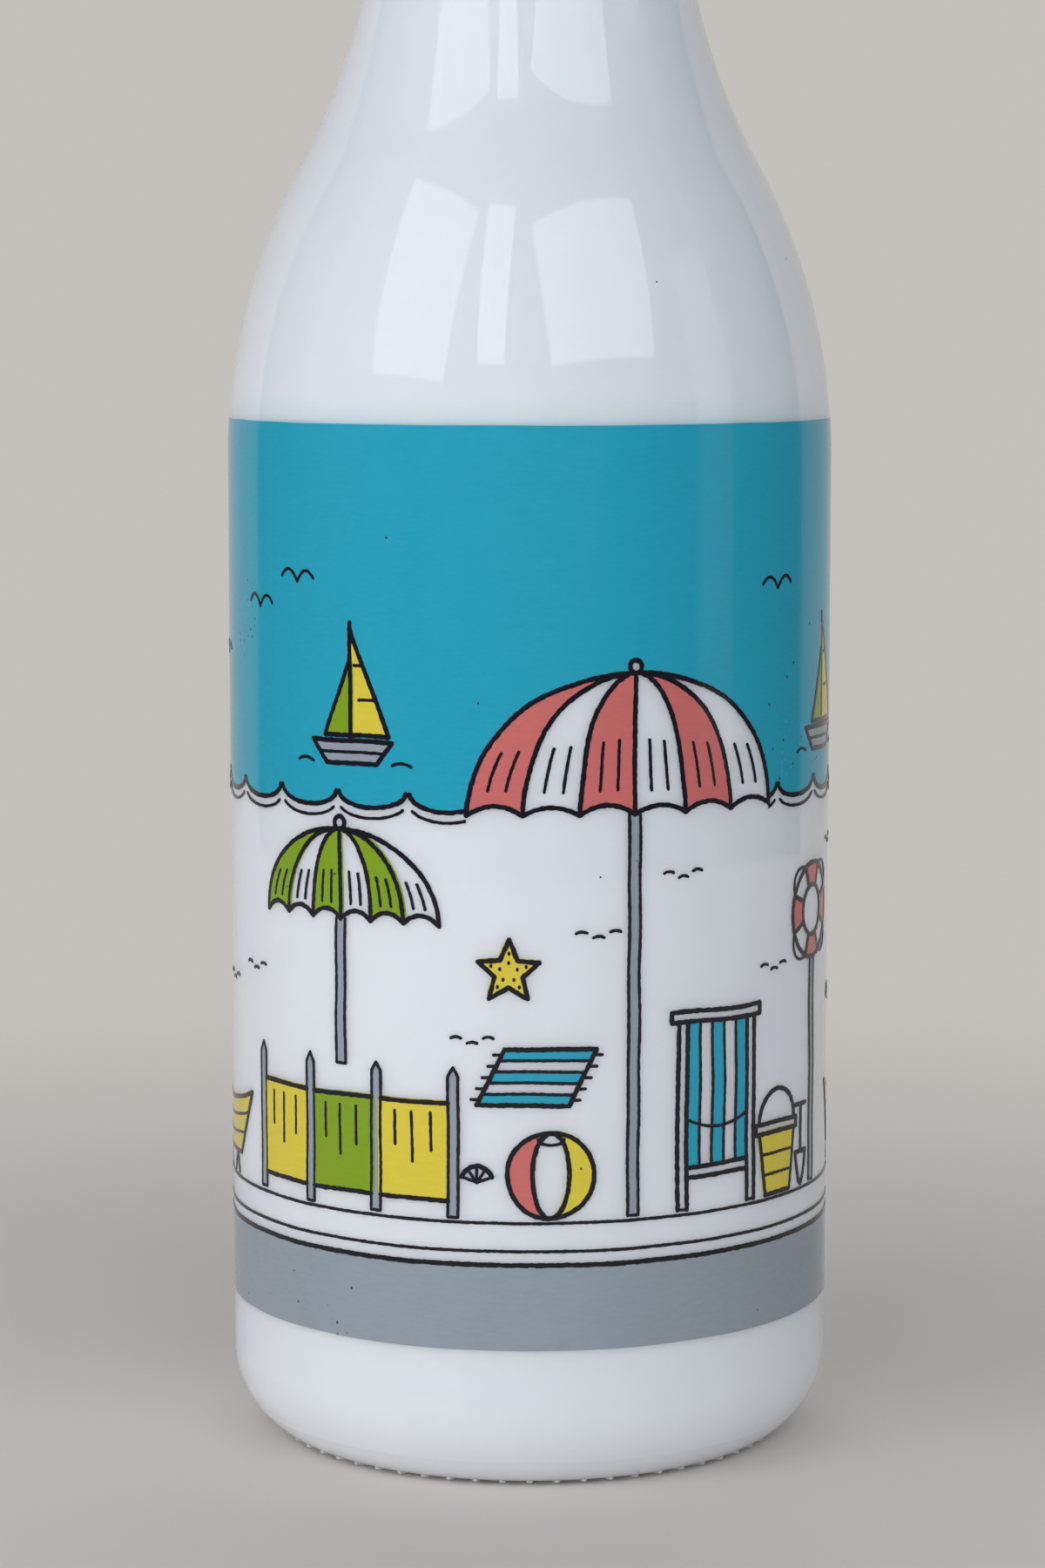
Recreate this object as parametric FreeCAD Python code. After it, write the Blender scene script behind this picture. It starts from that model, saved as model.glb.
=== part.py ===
"""One-litre milk bottle in white opal glass, with fired enamel print and a press-on cap.

The bottle stands on the XY plane with its axis on Z, and the middle of its picture faces -Y.
Sizes are in millimetres. Each node is written to parts/NODE.step.
"""

import FreeCAD, Part
import math
import os

Vector = FreeCAD.Vector
AXIS = Vector(0, 0, 1)
ORIGIN = Vector(0, 0, 0)

# Glass: body, heel and base
BODY_RADIUS = 45.0
GLASS_WALL = 3.0
HEEL_RADIUS = 14.0
BEARING_INSET = 8.3
BEARING_WIDTH = 5.7
PUSH_UP_HEIGHT = 5.0
BASE_THICKNESS = 5.0

# Glass: shoulder, neck and mouth
SHOULDER_START = 147.5
SHOULDER_RADIUS = 88.3
NECK_RADIUS = 22.5
NECK_SWEEP_RADIUS = 93.2
STRAIGHT_NECK = 11.0
LIP_OVERHANG = 2.7
LIP_DEPTH = 10.0
LAND_WIDTH = 2.0
MOUTH_EDGE_RADIUS = 1.2

# Cap and liner
CAP_CLEARANCE = 0.3
CAP_WALL = 1.4
CAP_TOP_THICKNESS = 1.8
CAP_PANEL_RECESS = 0.7
CAP_RIM_WIDTH = 4.0
CAP_EDGE_RADIUS = 1.2
SKIRT_DEPTH = 9.0
PLUG_DEPTH = 8.0
PLUG_WALL = 1.5
PLUG_LEAD_IN = 0.8
LINER_THICKNESS = 1.2
GRIP_RIB_COUNT = 60
GRIP_RIB_HEIGHT = 0.55
GRIP_RIB_END_GAP = 1.4
TAB_REACH = 8.0
TAB_WIDTH = 16.0
TAB_THICKNESS = 1.6
TAB_ANGLE = 35.0

# Enamel: the layer, its bands and lines, and the shore
ENAMEL_THICKNESS = 0.12
ROAD_FOOT = 21.8
ROAD_TOP = 34.1
KERB_LINE = 36.1
GROUND = 40.2
SHORE = 101.0
SKY_ONTO_SHOULDER = 5.5
LINE_WIDTH = 0.5
OUTLINE_GAP = 0.4
WAVE_COUNT = 24
WAVE_DEPTH = 2.2
WAVE_GAP = 0.6

# Enamel: parasols
CANOPY_PANELS = 6
CANOPY_HEM_ARCH = 1.3
CANOPY_APEX_ANGLE = 8.0
POLE_WIDTH = 1.6
BIG_CANOPY_WIDTH = 48.0
BIG_CANOPY_RISE = 20.0
BIG_CANOPY_BELOW_SHORE = 2.6
SMALL_CANOPY_WIDTH = 32.0
SMALL_CANOPY_RISE = 13.0
SMALL_POLE_LENGTH = 21.0

# Enamel: things on the beach
WINDBREAK_PITCH = 12.0
WINDBREAK_PANEL_HEIGHT = 14.0
WINDBREAK_FOOT_GAP = 3.0
WINDBREAK_POST_WIDTH = 1.5
WINDBREAK_POST_HEIGHT = 21.0
DECKCHAIR_WIDTH = 11.0
DECKCHAIR_LEG = 6.8
DECKCHAIR_CANVAS_LENGTH = 21.0
DECKCHAIR_STRIPES = 5
BALL_RADIUS = 6.2
BALL_MIDDLE_SHARE = 0.42
BALL_POLE_ANGLE = 12.0
BUCKET_FOOT_WIDTH = 6.6
BUCKET_TOP_WIDTH = 9.4
BUCKET_HEIGHT = 9.0
BUOY_RADIUS = 7.0
BUOY_HOLE_RADIUS = 3.7
BUOY_POST_LENGTH = 34.0
BUOY_BANDS = 4
ROWING_BOAT_LENGTH = 28.0
ROWING_BOAT_KEEL = 17.0
ROWING_BOAT_HEIGHT = 10.0
ROWING_BOAT_SHEER = 2.5
ROWING_BOAT_LIFT = 3.8
TOWEL_LENGTH = 13.0
TOWEL_STRIPE = 1.6
TOWEL_STRIPES = 5
TOWEL_SLANT = 0.8
TOWEL_LIFT = 17.0
STAR_RADIUS = 4.6
STAR_WAIST_RADIUS = 2.1
STAR_ARMS = 5
STAR_LIFT = 36.0

# Enamel: boats at sea
SAILING_HULL_LENGTH = 14.0
SAILING_HULL_HEIGHT = 3.2
SAILING_HULL_RAKE = 2.6
SAILING_HULL_ABOVE_SHORE = 4.0
MAIN_SAIL_WIDTH = 6.4
MAIN_SAIL_HEIGHT = 15.0
JIB_WIDTH = 4.6
JIB_HEIGHT = 11.0

# Enamel: places along the unrolled print, from the middle of each picture, positive to the right
PICTURE_COUNT = 2
BIG_PARASOL_PLACE = 15.0
SMALL_PARASOL_PLACE = -29.0
WINDBREAK_PLACE = -29.0
DECKCHAIR_PLACE = 29.0
BALL_PLACE = 3.0
BUCKET_PLACE = 42.0
BUOY_PLACE = 53.0
ROWING_BOAT_PLACE = 76.0
TOWEL_PLACE = -1.0
STAR_PLACE = -3.0
SAILING_BOAT_PLACES = (-27.0, 57.0)

# Enamel: the colours that change from one picture to the next
FIRST_PICTURE = {"big": "coral", "small": "green", "panels": ("yellow", "green", "yellow"), "hull": "coral"}
SECOND_PICTURE = {"big": "green", "small": "coral", "panels": ("coral", "yellow", "coral"), "hull": "yellow"}
PICTURE_COLOURS = (FIRST_PICTURE, SECOND_PICTURE)

# What follows from the driving sizes
BORE_RADIUS = NECK_RADIUS - GLASS_WALL
LIP_RADIUS = NECK_RADIUS + LIP_OVERHANG
BEARING_OUTER_RADIUS = BODY_RADIUS - BEARING_INSET
BEARING_INNER_RADIUS = BEARING_OUTER_RADIUS - BEARING_WIDTH
HEEL_TOP = math.sqrt(HEEL_RADIUS**2 - (HEEL_RADIUS - BEARING_INSET) ** 2)
SWAY_RADII = SHOULDER_RADIUS + NECK_SWEEP_RADIUS
NECK_START = SHOULDER_START + math.sqrt(SWAY_RADII**2 - (SWAY_RADII - BODY_RADIUS + NECK_RADIUS) ** 2)
LIP_FOOT = NECK_START + STRAIGHT_NECK
MOUTH = LIP_FOOT + LIP_DEPTH
LINER_TOP = MOUTH + LINER_THICKNESS
CAP_INNER_RADIUS = LIP_RADIUS + CAP_CLEARANCE
CAP_OUTER_RADIUS = CAP_INNER_RADIUS + CAP_WALL
PLUG_RADIUS = BORE_RADIUS - CAP_CLEARANCE
SKIRT_FOOT = MOUTH - SKIRT_DEPTH
CAP_TOP = LINER_TOP + CAP_TOP_THICKNESS
PRINT_RADIUS = BODY_RADIUS + ENAMEL_THICKNESS
PICTURE_LENGTH = 2 * math.pi * BODY_RADIUS / PICTURE_COUNT
WAVE_PITCH = 2 * math.pi * BODY_RADIUS / WAVE_COUNT
STANDING = GROUND + LINE_WIDTH


# Profiles in the XZ half plane, turned about the axis


def at(radius, height):
    return Vector(radius, 0, height)


def line(start, end):
    return Part.LineSegment(start, end).toShape()


def round_edge(start, end, centre):
    """The shorter arc from start to end about centre."""
    middle = (start + end) * 0.5 - centre
    middle.normalize()
    return Part.Arc(start, centre + middle * (start - centre).Length, end).toShape()


def turned(edges):
    """The solid that a closed profile sweeps about the axis."""
    return Part.Face(Part.Wire(edges)).revolve(ORIGIN, AXIS, 360)


def tube(inner_radius, outer_radius, foot, top):
    """A plain ring about the axis."""
    outer = Part.makeCylinder(outer_radius, top - foot, at(0, foot), AXIS)
    return outer.cut(Part.makeCylinder(inner_radius, top - foot, at(0, foot), AXIS))


def point_towards(start, end, distance):
    """The point at a distance from start on the way to end."""
    return start + (end - start) * (distance / (end - start).Length)


def circles_meet(centre_a, radius_a, centre_b, radius_b):
    """The meeting point of two circles that lies further out and lower."""
    gap = centre_b - centre_a
    along = (radius_a**2 - radius_b**2 + gap.Length**2) / (2 * gap.Length)
    aside = math.sqrt(radius_a**2 - along**2)
    foot = point_towards(centre_a, centre_b, along)
    normal = Vector(gap.z, 0, -gap.x) * (aside / gap.Length)
    return max(foot + normal, foot - normal, key=lambda point: point.x - point.z)


# Glass


def shoulder_centre():
    return at(BODY_RADIUS - SHOULDER_RADIUS, SHOULDER_START)


def neck_centre():
    return at(NECK_RADIUS + NECK_SWEEP_RADIUS, NECK_START)


def turning_point(radius):
    """Where the shoulder's curve, at this radius about its centre, turns into the neck's."""
    return point_towards(shoulder_centre(), neck_centre(), radius)


def glass_body():
    """The glass up to the turn of its curve: push-up base, rounded heel, straight body and shoulder."""
    heel_centre = at(BODY_RADIUS - HEEL_RADIUS, HEEL_TOP)
    dome_radius = (BEARING_INNER_RADIUS**2 + PUSH_UP_HEIGHT**2) / (2 * PUSH_UP_HEIGHT)
    dome_centre = at(0, PUSH_UP_HEIGHT - dome_radius)
    base_middle = at(0, PUSH_UP_HEIGHT)
    bearing_in = at(BEARING_INNER_RADIUS, 0)
    bearing_out = at(BEARING_OUTER_RADIUS, 0)
    heel_end = at(BODY_RADIUS, HEEL_TOP)
    body_end = at(BODY_RADIUS, SHOULDER_START)
    turn = turning_point(SHOULDER_RADIUS)
    outside = [
        round_edge(base_middle, bearing_in, dome_centre),
        line(bearing_in, bearing_out),
        round_edge(bearing_out, heel_end, heel_centre),
        line(heel_end, body_end),
        round_edge(body_end, turn, shoulder_centre()),
    ]

    inner_turn = turning_point(SHOULDER_RADIUS - GLASS_WALL)
    inner_body_end = at(BODY_RADIUS - GLASS_WALL, SHOULDER_START)
    inner_heel_end = at(BODY_RADIUS - GLASS_WALL, HEEL_TOP)
    floor_radius = dome_radius + BASE_THICKNESS
    floor_corner = circles_meet(dome_centre, floor_radius, heel_centre, HEEL_RADIUS - GLASS_WALL)
    floor_middle = at(0, PUSH_UP_HEIGHT + BASE_THICKNESS)
    inside = [
        line(turn, inner_turn),
        round_edge(inner_turn, inner_body_end, shoulder_centre()),
        line(inner_body_end, inner_heel_end),
        round_edge(inner_heel_end, floor_corner, heel_centre),
        round_edge(floor_corner, floor_middle, dome_centre),
        line(floor_middle, base_middle),
    ]
    return turned(outside + inside)


def glass_neck():
    """The glass above the turn of its curve: the sweep up to a straight neck, and the rolled lip."""
    mouth_edge_centre = at(BORE_RADIUS + MOUTH_EDGE_RADIUS, MOUTH - MOUTH_EDGE_RADIUS)
    turn = turning_point(SHOULDER_RADIUS)
    neck_foot = at(NECK_RADIUS, NECK_START)
    lip_foot = at(NECK_RADIUS, LIP_FOOT)
    lip_crown = at(LIP_RADIUS, MOUTH - LIP_DEPTH / 2)
    land_out = at(mouth_edge_centre.x + LAND_WIDTH, MOUTH)
    land_in = at(mouth_edge_centre.x, MOUTH)
    mouth_edge = at(BORE_RADIUS, mouth_edge_centre.z)
    bore_foot = at(BORE_RADIUS, NECK_START)
    inner_turn = turning_point(SHOULDER_RADIUS - GLASS_WALL)
    return turned([
        round_edge(turn, neck_foot, neck_centre()),
        line(neck_foot, lip_foot),
        Part.Arc(lip_foot, lip_crown, land_out).toShape(),
        line(land_out, land_in),
        round_edge(land_in, mouth_edge, mouth_edge_centre),
        line(mouth_edge, bore_foot),
        round_edge(bore_foot, inner_turn, neck_centre()),
        line(inner_turn, turn),
    ])


# Cap and liner


def cap_shell():
    """The moulded press-on cap: ribbed skirt, sunk top panel, sealing plug and thumb tab."""
    panel = CAP_TOP - CAP_PANEL_RECESS
    panel_radius = CAP_OUTER_RADIUS - CAP_RIM_WIDTH
    plug_foot = MOUTH - PLUG_DEPTH
    edge_centre = at(CAP_OUTER_RADIUS - CAP_EDGE_RADIUS, CAP_TOP - CAP_EDGE_RADIUS)
    edge_start = at(edge_centre.x, CAP_TOP)
    edge_end = at(CAP_OUTER_RADIUS, edge_centre.z)
    top = [at(0, panel), at(panel_radius - CAP_PANEL_RECESS, panel), at(panel_radius, CAP_TOP), edge_start]
    skirt = [edge_end, at(CAP_OUTER_RADIUS, SKIRT_FOOT), at(CAP_INNER_RADIUS, SKIRT_FOOT)]
    seat = [at(CAP_INNER_RADIUS, LINER_TOP), at(PLUG_RADIUS, LINER_TOP)]
    plug = [
        at(PLUG_RADIUS, plug_foot + PLUG_LEAD_IN),
        at(PLUG_RADIUS - PLUG_LEAD_IN, plug_foot),
        at(PLUG_RADIUS - PLUG_WALL, plug_foot),
        at(PLUG_RADIUS - PLUG_WALL, LINER_TOP),
    ]
    underside = skirt + seat + plug + [at(0, LINER_TOP), top[0]]
    edges = [line(a, b) for a, b in zip(top, top[1:])]
    edges.append(round_edge(edge_start, edge_end, edge_centre))
    edges += [line(a, b) for a, b in zip(underside, underside[1:])]
    return turned(edges).fuse(grip_ribs() + [thumb_tab()]).removeSplitter()


def grip_ribs():
    """Sharp ribs up the skirt, evenly spaced: square bars on edge, sunk by half into its wall."""
    foot = SKIRT_FOOT + GRIP_RIB_END_GAP
    length = CAP_TOP - CAP_EDGE_RADIUS - GRIP_RIB_END_GAP - foot
    corners = [(GRIP_RIB_HEIGHT, 0), (0, GRIP_RIB_HEIGHT), (-GRIP_RIB_HEIGHT, 0), (0, -GRIP_RIB_HEIGHT)]
    points = [Vector(CAP_OUTER_RADIUS + outward, aside, foot) for outward, aside in corners]
    bar = Part.Face(Part.makePolygon(points + points[:1])).extrude(Vector(0, 0, length))
    ribs = []
    for index in range(GRIP_RIB_COUNT):
        rib = bar.copy()
        rib.rotate(ORIGIN, AXIS, index * 360.0 / GRIP_RIB_COUNT)
        ribs.append(rib)
    return ribs


def thumb_tab():
    """A round-ended tongue at the foot of the skirt, for lifting the cap."""
    root = CAP_INNER_RADIUS + CAP_WALL / 2
    tip_middle = CAP_OUTER_RADIUS + TAB_REACH - TAB_WIDTH / 2
    tongue = Part.makeBox(tip_middle, TAB_WIDTH, TAB_THICKNESS, Vector(0, -TAB_WIDTH / 2, SKIRT_FOOT))
    tip = Part.makeCylinder(TAB_WIDTH / 2, TAB_THICKNESS, at(tip_middle, SKIRT_FOOT), AXIS)
    inside = Part.makeCylinder(root, TAB_THICKNESS, at(0, SKIRT_FOOT), AXIS)
    tab = tongue.fuse(tip).cut(inside)
    tab.rotate(ORIGIN, AXIS, TAB_ANGLE)
    return tab


def cap_liner():
    """The flat sealing ring between the cap and the mouth's land."""
    return tube(PLUG_RADIUS + CAP_CLEARANCE, CAP_INNER_RADIUS - CAP_CLEARANCE, MOUTH, LINER_TOP)


# Enamel: flat outlines on the unrolled print, wrapped on the body


def unrolled(along, height):
    """A point of the unrolled print, seen on the plane that faces the motif's middle."""
    return Vector(BODY_RADIUS * math.sin(along / BODY_RADIUS), 0, height)


def straight(start, end):
    return line(unrolled(*start), unrolled(*end))


def curved(points):
    curve = Part.BSplineCurve()
    curve.interpolate([unrolled(*point) for point in points])
    return curve.toShape()


def polygon(points):
    return [straight(a, b) for a, b in zip(points, points[1:] + points[:1])]


def rectangle(left, right, foot, top):
    return polygon([(left, foot), (right, foot), (right, top), (left, top)])


def ellipse_arc(half_width, half_height, middle, start, end, steps=6):
    """Points on an ellipse from one angle to another, in degrees from its top, clockwise."""
    angles = [math.radians(start + (end - start) * i / steps) for i in range(steps + 1)]
    return [(half_width * math.sin(a), middle + half_height * math.cos(a)) for a in angles]


def between(first, second):
    """The outline between two curves that run opposite ways."""
    return [curved(first), straight(first[-1], second[0]), curved(second), straight(second[-1], first[0])]


def bowed(start, end, rise):
    """An edge from start to end that bows upwards by rise."""
    middle = ((start[0] + end[0]) / 2, (start[1] + end[1]) / 2 + rise)
    return curved([start, middle, end])


def wrapped(outline, place):
    """A patch of enamel with this outline about its own middle, at a place round the body."""
    front = Part.Face(Part.Wire(outline))
    front.translate(Vector(0, -PRINT_RADIUS, 0))
    block = front.extrude(Vector(0, BODY_RADIUS / 2, 0))
    patch = block.common(tube(BODY_RADIUS, PRINT_RADIUS, ROAD_FOOT, SHOULDER_START))
    patch.rotate(ORIGIN, AXIS, math.degrees(place / BODY_RADIUS))
    return patch


# Enamel: motifs, each a list of (colour, outline) about the motif's own middle


def canopy_rib(width, rise, hem, share):
    """The rib at a share of the half width, from the apex down to the hem."""
    return ellipse_arc(width / 2 * share, rise, hem, CANOPY_APEX_ANGLE, 90)


def parasol(width, rise, hem, foot, colour):
    """Every second panel of a canopy, between two ribs and an arched hem, and the pole."""
    patches = []
    for index in range(0, CANOPY_PANELS, 2):
        left = canopy_rib(width, rise, hem, 2 * index / CANOPY_PANELS - 1)
        right = canopy_rib(width, rise, hem, 2 * (index + 1) / CANOPY_PANELS - 1)
        hem_edge = bowed(left[-1], right[-1], CANOPY_HEM_ARCH)
        outline = [curved(left), hem_edge, curved(right), straight(right[0], left[0])]
        patches.append((colour, outline))
    patches.append(("grey", rectangle(-POLE_WIDTH / 2, POLE_WIDTH / 2, foot, hem - OUTLINE_GAP)))
    return patches


def big_parasol(colours):
    hem = SHORE - BIG_CANOPY_BELOW_SHORE
    return parasol(BIG_CANOPY_WIDTH, BIG_CANOPY_RISE, hem, STANDING, colours["big"])


def small_parasol(colours):
    """A parasol further off, whose pole goes down behind the windbreak."""
    foot = GROUND + WINDBREAK_POST_HEIGHT + OUTLINE_GAP
    return parasol(SMALL_CANOPY_WIDTH, SMALL_CANOPY_RISE, foot + SMALL_POLE_LENGTH, foot, colours["small"])


def windbreak(colours):
    """Cloth panels side by side between posts."""
    foot = GROUND + WINDBREAK_FOOT_GAP
    half_post = WINDBREAK_POST_WIDTH / 2
    half_panel = WINDBREAK_PITCH / 2 - half_post - OUTLINE_GAP
    count = len(colours["panels"])
    patches = []
    for index, colour in enumerate(colours["panels"]):
        middle = WINDBREAK_PITCH * (index - (count - 1) / 2)
        panel = rectangle(middle - half_panel, middle + half_panel, foot, foot + WINDBREAK_PANEL_HEIGHT)
        patches.append((colour, panel))
    for index in range(count + 1):
        middle = WINDBREAK_PITCH * (index - count / 2)
        post = rectangle(middle - half_post, middle + half_post, STANDING, GROUND + WINDBREAK_POST_HEIGHT)
        patches.append(("grey", post))
    return patches


def deckchair():
    """Every second stripe of the chair's canvas."""
    stripe = DECKCHAIR_WIDTH / DECKCHAIR_STRIPES
    foot = GROUND + DECKCHAIR_LEG
    lefts = [stripe * i - DECKCHAIR_WIDTH / 2 for i in range(0, DECKCHAIR_STRIPES, 2)]
    return [("turquoise", rectangle(x, x + stripe, foot, foot + DECKCHAIR_CANVAS_LENGTH)) for x in lefts]


def ball():
    """The left and right panels of a beach ball, with a bare one between them."""
    middle = STANDING + BALL_RADIUS
    patches = []
    for side, colour in ((-1, "coral"), (1, "yellow")):
        inner_width = side * BALL_RADIUS * BALL_MIDDLE_SHARE
        outer = ellipse_arc(side * BALL_RADIUS, BALL_RADIUS, middle, BALL_POLE_ANGLE, 180 - BALL_POLE_ANGLE)
        inner = ellipse_arc(inner_width, BALL_RADIUS, middle, 180 - BALL_POLE_ANGLE, BALL_POLE_ANGLE)
        patches.append((colour, between(outer, inner)))
    return patches


def bucket():
    low, high = BUCKET_FOOT_WIDTH / 2, BUCKET_TOP_WIDTH / 2
    rim = STANDING + BUCKET_HEIGHT
    return [("yellow", polygon([(-low, STANDING), (low, STANDING), (high, rim), (-high, rim)]))]


def lifebuoy():
    """A ring with coloured bands, as wide as the bare ones between them, on its post."""
    post_top = GROUND + BUOY_POST_LENGTH
    middle = post_top + OUTLINE_GAP + BUOY_RADIUS
    turn = 360 / BUOY_BANDS
    patches = []
    for index in range(BUOY_BANDS):
        start, end = turn * (index - 0.25), turn * (index + 0.25)
        outer = ellipse_arc(BUOY_RADIUS, BUOY_RADIUS, middle, start, end)
        inner = ellipse_arc(BUOY_HOLE_RADIUS, BUOY_HOLE_RADIUS, middle, end, start)
        patches.append(("coral", between(outer, inner)))
    patches.append(("grey", rectangle(-POLE_WIDTH / 2, POLE_WIDTH / 2, STANDING, post_top)))
    return patches


def rowing_boat(colours):
    """The side of a boat on the sand, with raking ends and a sheer that dips in the middle."""
    keel = GROUND + ROWING_BOAT_LIFT
    rail = keel + ROWING_BOAT_HEIGHT
    low, high = ROWING_BOAT_KEEL / 2, ROWING_BOAT_LENGTH / 2
    outline = [
        straight((-high, rail), (-low, keel)),
        straight((-low, keel), (low, keel)),
        straight((low, keel), (high, rail)),
        bowed((high, rail), (-high, rail), -ROWING_BOAT_SHEER),
    ]
    return [(colours["hull"], outline)]


def towel():
    """Every second stripe of a towel that lies slanting on the sand."""
    half = TOWEL_LENGTH / 2
    patches = []
    for index in range(0, TOWEL_STRIPES, 2):
        foot = GROUND + TOWEL_LIFT + TOWEL_STRIPE * index
        low_shift, high_shift = TOWEL_SLANT * index, TOWEL_SLANT * (index + 1)
        low = [(low_shift - half, foot), (low_shift + half, foot)]
        high = [(high_shift + half, foot + TOWEL_STRIPE), (high_shift - half, foot + TOWEL_STRIPE)]
        patches.append(("turquoise", polygon(low + high)))
    return patches


def starfish():
    points = []
    for index in range(2 * STAR_ARMS):
        radius = STAR_WAIST_RADIUS if index % 2 else STAR_RADIUS
        angle = math.pi * index / STAR_ARMS
        points.append((radius * math.sin(angle), GROUND + STAR_LIFT + radius * math.cos(angle)))
    return [("yellow", polygon(points))]


def sailing_boat(colours):
    """A hull with a main sail and a jib, seen from the side."""
    keel = SHORE + SAILING_HULL_ABOVE_SHORE
    deck = keel + SAILING_HULL_HEIGHT
    half = SAILING_HULL_LENGTH / 2
    foot = deck + 2 * OUTLINE_GAP
    hull = [(-half, deck), (SAILING_HULL_RAKE - half, keel), (half - SAILING_HULL_RAKE, keel), (half, deck)]
    main = [(OUTLINE_GAP, foot), (MAIN_SAIL_WIDTH, foot), (OUTLINE_GAP, foot + MAIN_SAIL_HEIGHT)]
    jib = [(-OUTLINE_GAP, foot), (-OUTLINE_GAP, foot + JIB_HEIGHT), (-JIB_WIDTH, foot)]
    return [("grey", polygon(hull)), (colours["panels"][0], polygon(main)), ("green", polygon(jib))]


# Enamel: what the turquoise leaves bare, and its waves


def bare_canopy(width, rise, hem):
    """A whole canopy, a little larger than its panels."""
    top = ellipse_arc(width / 2 + OUTLINE_GAP, rise + OUTLINE_GAP, hem, -90, 90, 12)
    return [curved(top), straight(top[-1], top[0])]


def bare_sailing_boat():
    """A sailing boat with its sails, a little larger than its patches."""
    keel = SHORE + SAILING_HULL_ABOVE_SHORE - OUTLINE_GAP
    deck = keel + SAILING_HULL_HEIGHT + 2 * OUTLINE_GAP
    half = SAILING_HULL_LENGTH / 2 + 2 * OUTLINE_GAP
    peak = deck + MAIN_SAIL_HEIGHT + 4 * OUTLINE_GAP
    hull = [(-half, deck), (SAILING_HULL_RAKE - half, keel), (half - SAILING_HULL_RAKE, keel), (half, deck)]
    main_clew = (MAIN_SAIL_WIDTH + 2 * OUTLINE_GAP, deck)
    jib_tack = (-JIB_WIDTH - 2 * OUTLINE_GAP, deck)
    return polygon(hull + [main_clew, (2 * OUTLINE_GAP, peak), (-2 * OUTLINE_GAP, peak), jib_tack])


def wave():
    """One rounded wave that runs down the shore from the turquoise band."""
    half = (WAVE_PITCH - WAVE_GAP) / 2
    edge = ellipse_arc(half, WAVE_DEPTH, SHORE, 90, 270, 8)
    tuck = SHORE + WAVE_GAP
    sides = [edge[-1], (-half, tuck), (half, tuck), edge[0]]
    return [curved(edge)] + [straight(a, b) for a, b in zip(sides, sides[1:])]


def turquoise_band():
    """The plain turquoise from the shore up, which follows the glass a little way onto the shoulder."""
    centre = shoulder_centre()
    angle = math.asin(SKY_ONTO_SHOULDER / SHOULDER_RADIUS)
    tilt = at(math.cos(angle), math.sin(angle))
    inner = [at(BODY_RADIUS, SHORE), at(BODY_RADIUS, SHOULDER_START), centre + tilt * SHOULDER_RADIUS]
    outer_sky = centre + tilt * (SHOULDER_RADIUS + ENAMEL_THICKNESS)
    outer = [outer_sky, at(PRINT_RADIUS, SHOULDER_START), at(PRINT_RADIUS, SHORE)]
    return turned([
        line(inner[0], inner[1]),
        round_edge(inner[1], inner[2], centre),
        line(inner[2], outer[0]),
        round_edge(outer[0], outer[1], centre),
        line(outer[1], outer[2]),
        line(outer[2], inner[0]),
    ])


def sea_and_sky():
    """The turquoise band with its waves, left bare behind the canopies and the sailing boats."""
    waves = [wrapped(wave(), WAVE_PITCH * i) for i in range(WAVE_COUNT)]
    hem = SHORE - BIG_CANOPY_BELOW_SHORE
    small_hem = GROUND + WINDBREAK_POST_HEIGHT + OUTLINE_GAP + SMALL_POLE_LENGTH
    bare = []
    for index in range(PICTURE_COUNT):
        start = PICTURE_LENGTH * index
        big = bare_canopy(BIG_CANOPY_WIDTH, BIG_CANOPY_RISE, hem)
        small = bare_canopy(SMALL_CANOPY_WIDTH, SMALL_CANOPY_RISE, small_hem)
        bare.append(wrapped(big, start + BIG_PARASOL_PLACE))
        bare.append(wrapped(small, start + SMALL_PARASOL_PLACE))
        bare += [wrapped(bare_sailing_boat(), start + place) for place in SAILING_BOAT_PLACES]
    return turquoise_band().fuse(waves).cut(bare).removeSplitter()


# Enamel: the layers, one for each fired colour


def picture(colours):
    """The motifs of one picture with their places, the nearest first."""
    motifs = [
        (ball(), BALL_PLACE),
        (bucket(), BUCKET_PLACE),
        (deckchair(), DECKCHAIR_PLACE),
        (windbreak(colours), WINDBREAK_PLACE),
        (lifebuoy(), BUOY_PLACE),
        (rowing_boat(colours), ROWING_BOAT_PLACE),
        (towel(), TOWEL_PLACE),
        (starfish(), STAR_PLACE),
        (big_parasol(colours), BIG_PARASOL_PLACE),
        (small_parasol(colours), SMALL_PARASOL_PLACE),
    ]
    return motifs + [(sailing_boat(colours), place) for place in SAILING_BOAT_PLACES]


def laid_patches():
    """Every patch as (colour, solid), each stopping at the nearer ones that it meets."""
    laid = []
    for index, colours in enumerate(PICTURE_COLOURS):
        for motif, place in picture(colours):
            for colour, outline in motif:
                patch = wrapped(outline, PICTURE_LENGTH * index + place)
                met = [other for _, other in laid if other.BoundBox.intersect(patch.BoundBox)]
                laid.append((colour, patch.cut(met) if met else patch))
    return laid


def enamel_layers():
    """Each colour's solids, by colour."""
    levels = (ROAD_TOP + LINE_WIDTH, KERB_LINE, GROUND - LINE_WIDTH)
    half_line = LINE_WIDTH / 2
    lines = [tube(BODY_RADIUS, PRINT_RADIUS, level - half_line, level + half_line) for level in levels]
    road = tube(BODY_RADIUS, PRINT_RADIUS, ROAD_FOOT, ROAD_TOP)
    layers = {"black": lines, "grey": road.Solids, "turquoise": sea_and_sky().Solids}
    for colour, patch in laid_patches():
        layers.setdefault(colour, []).extend(patch.Solids)
    return layers


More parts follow.
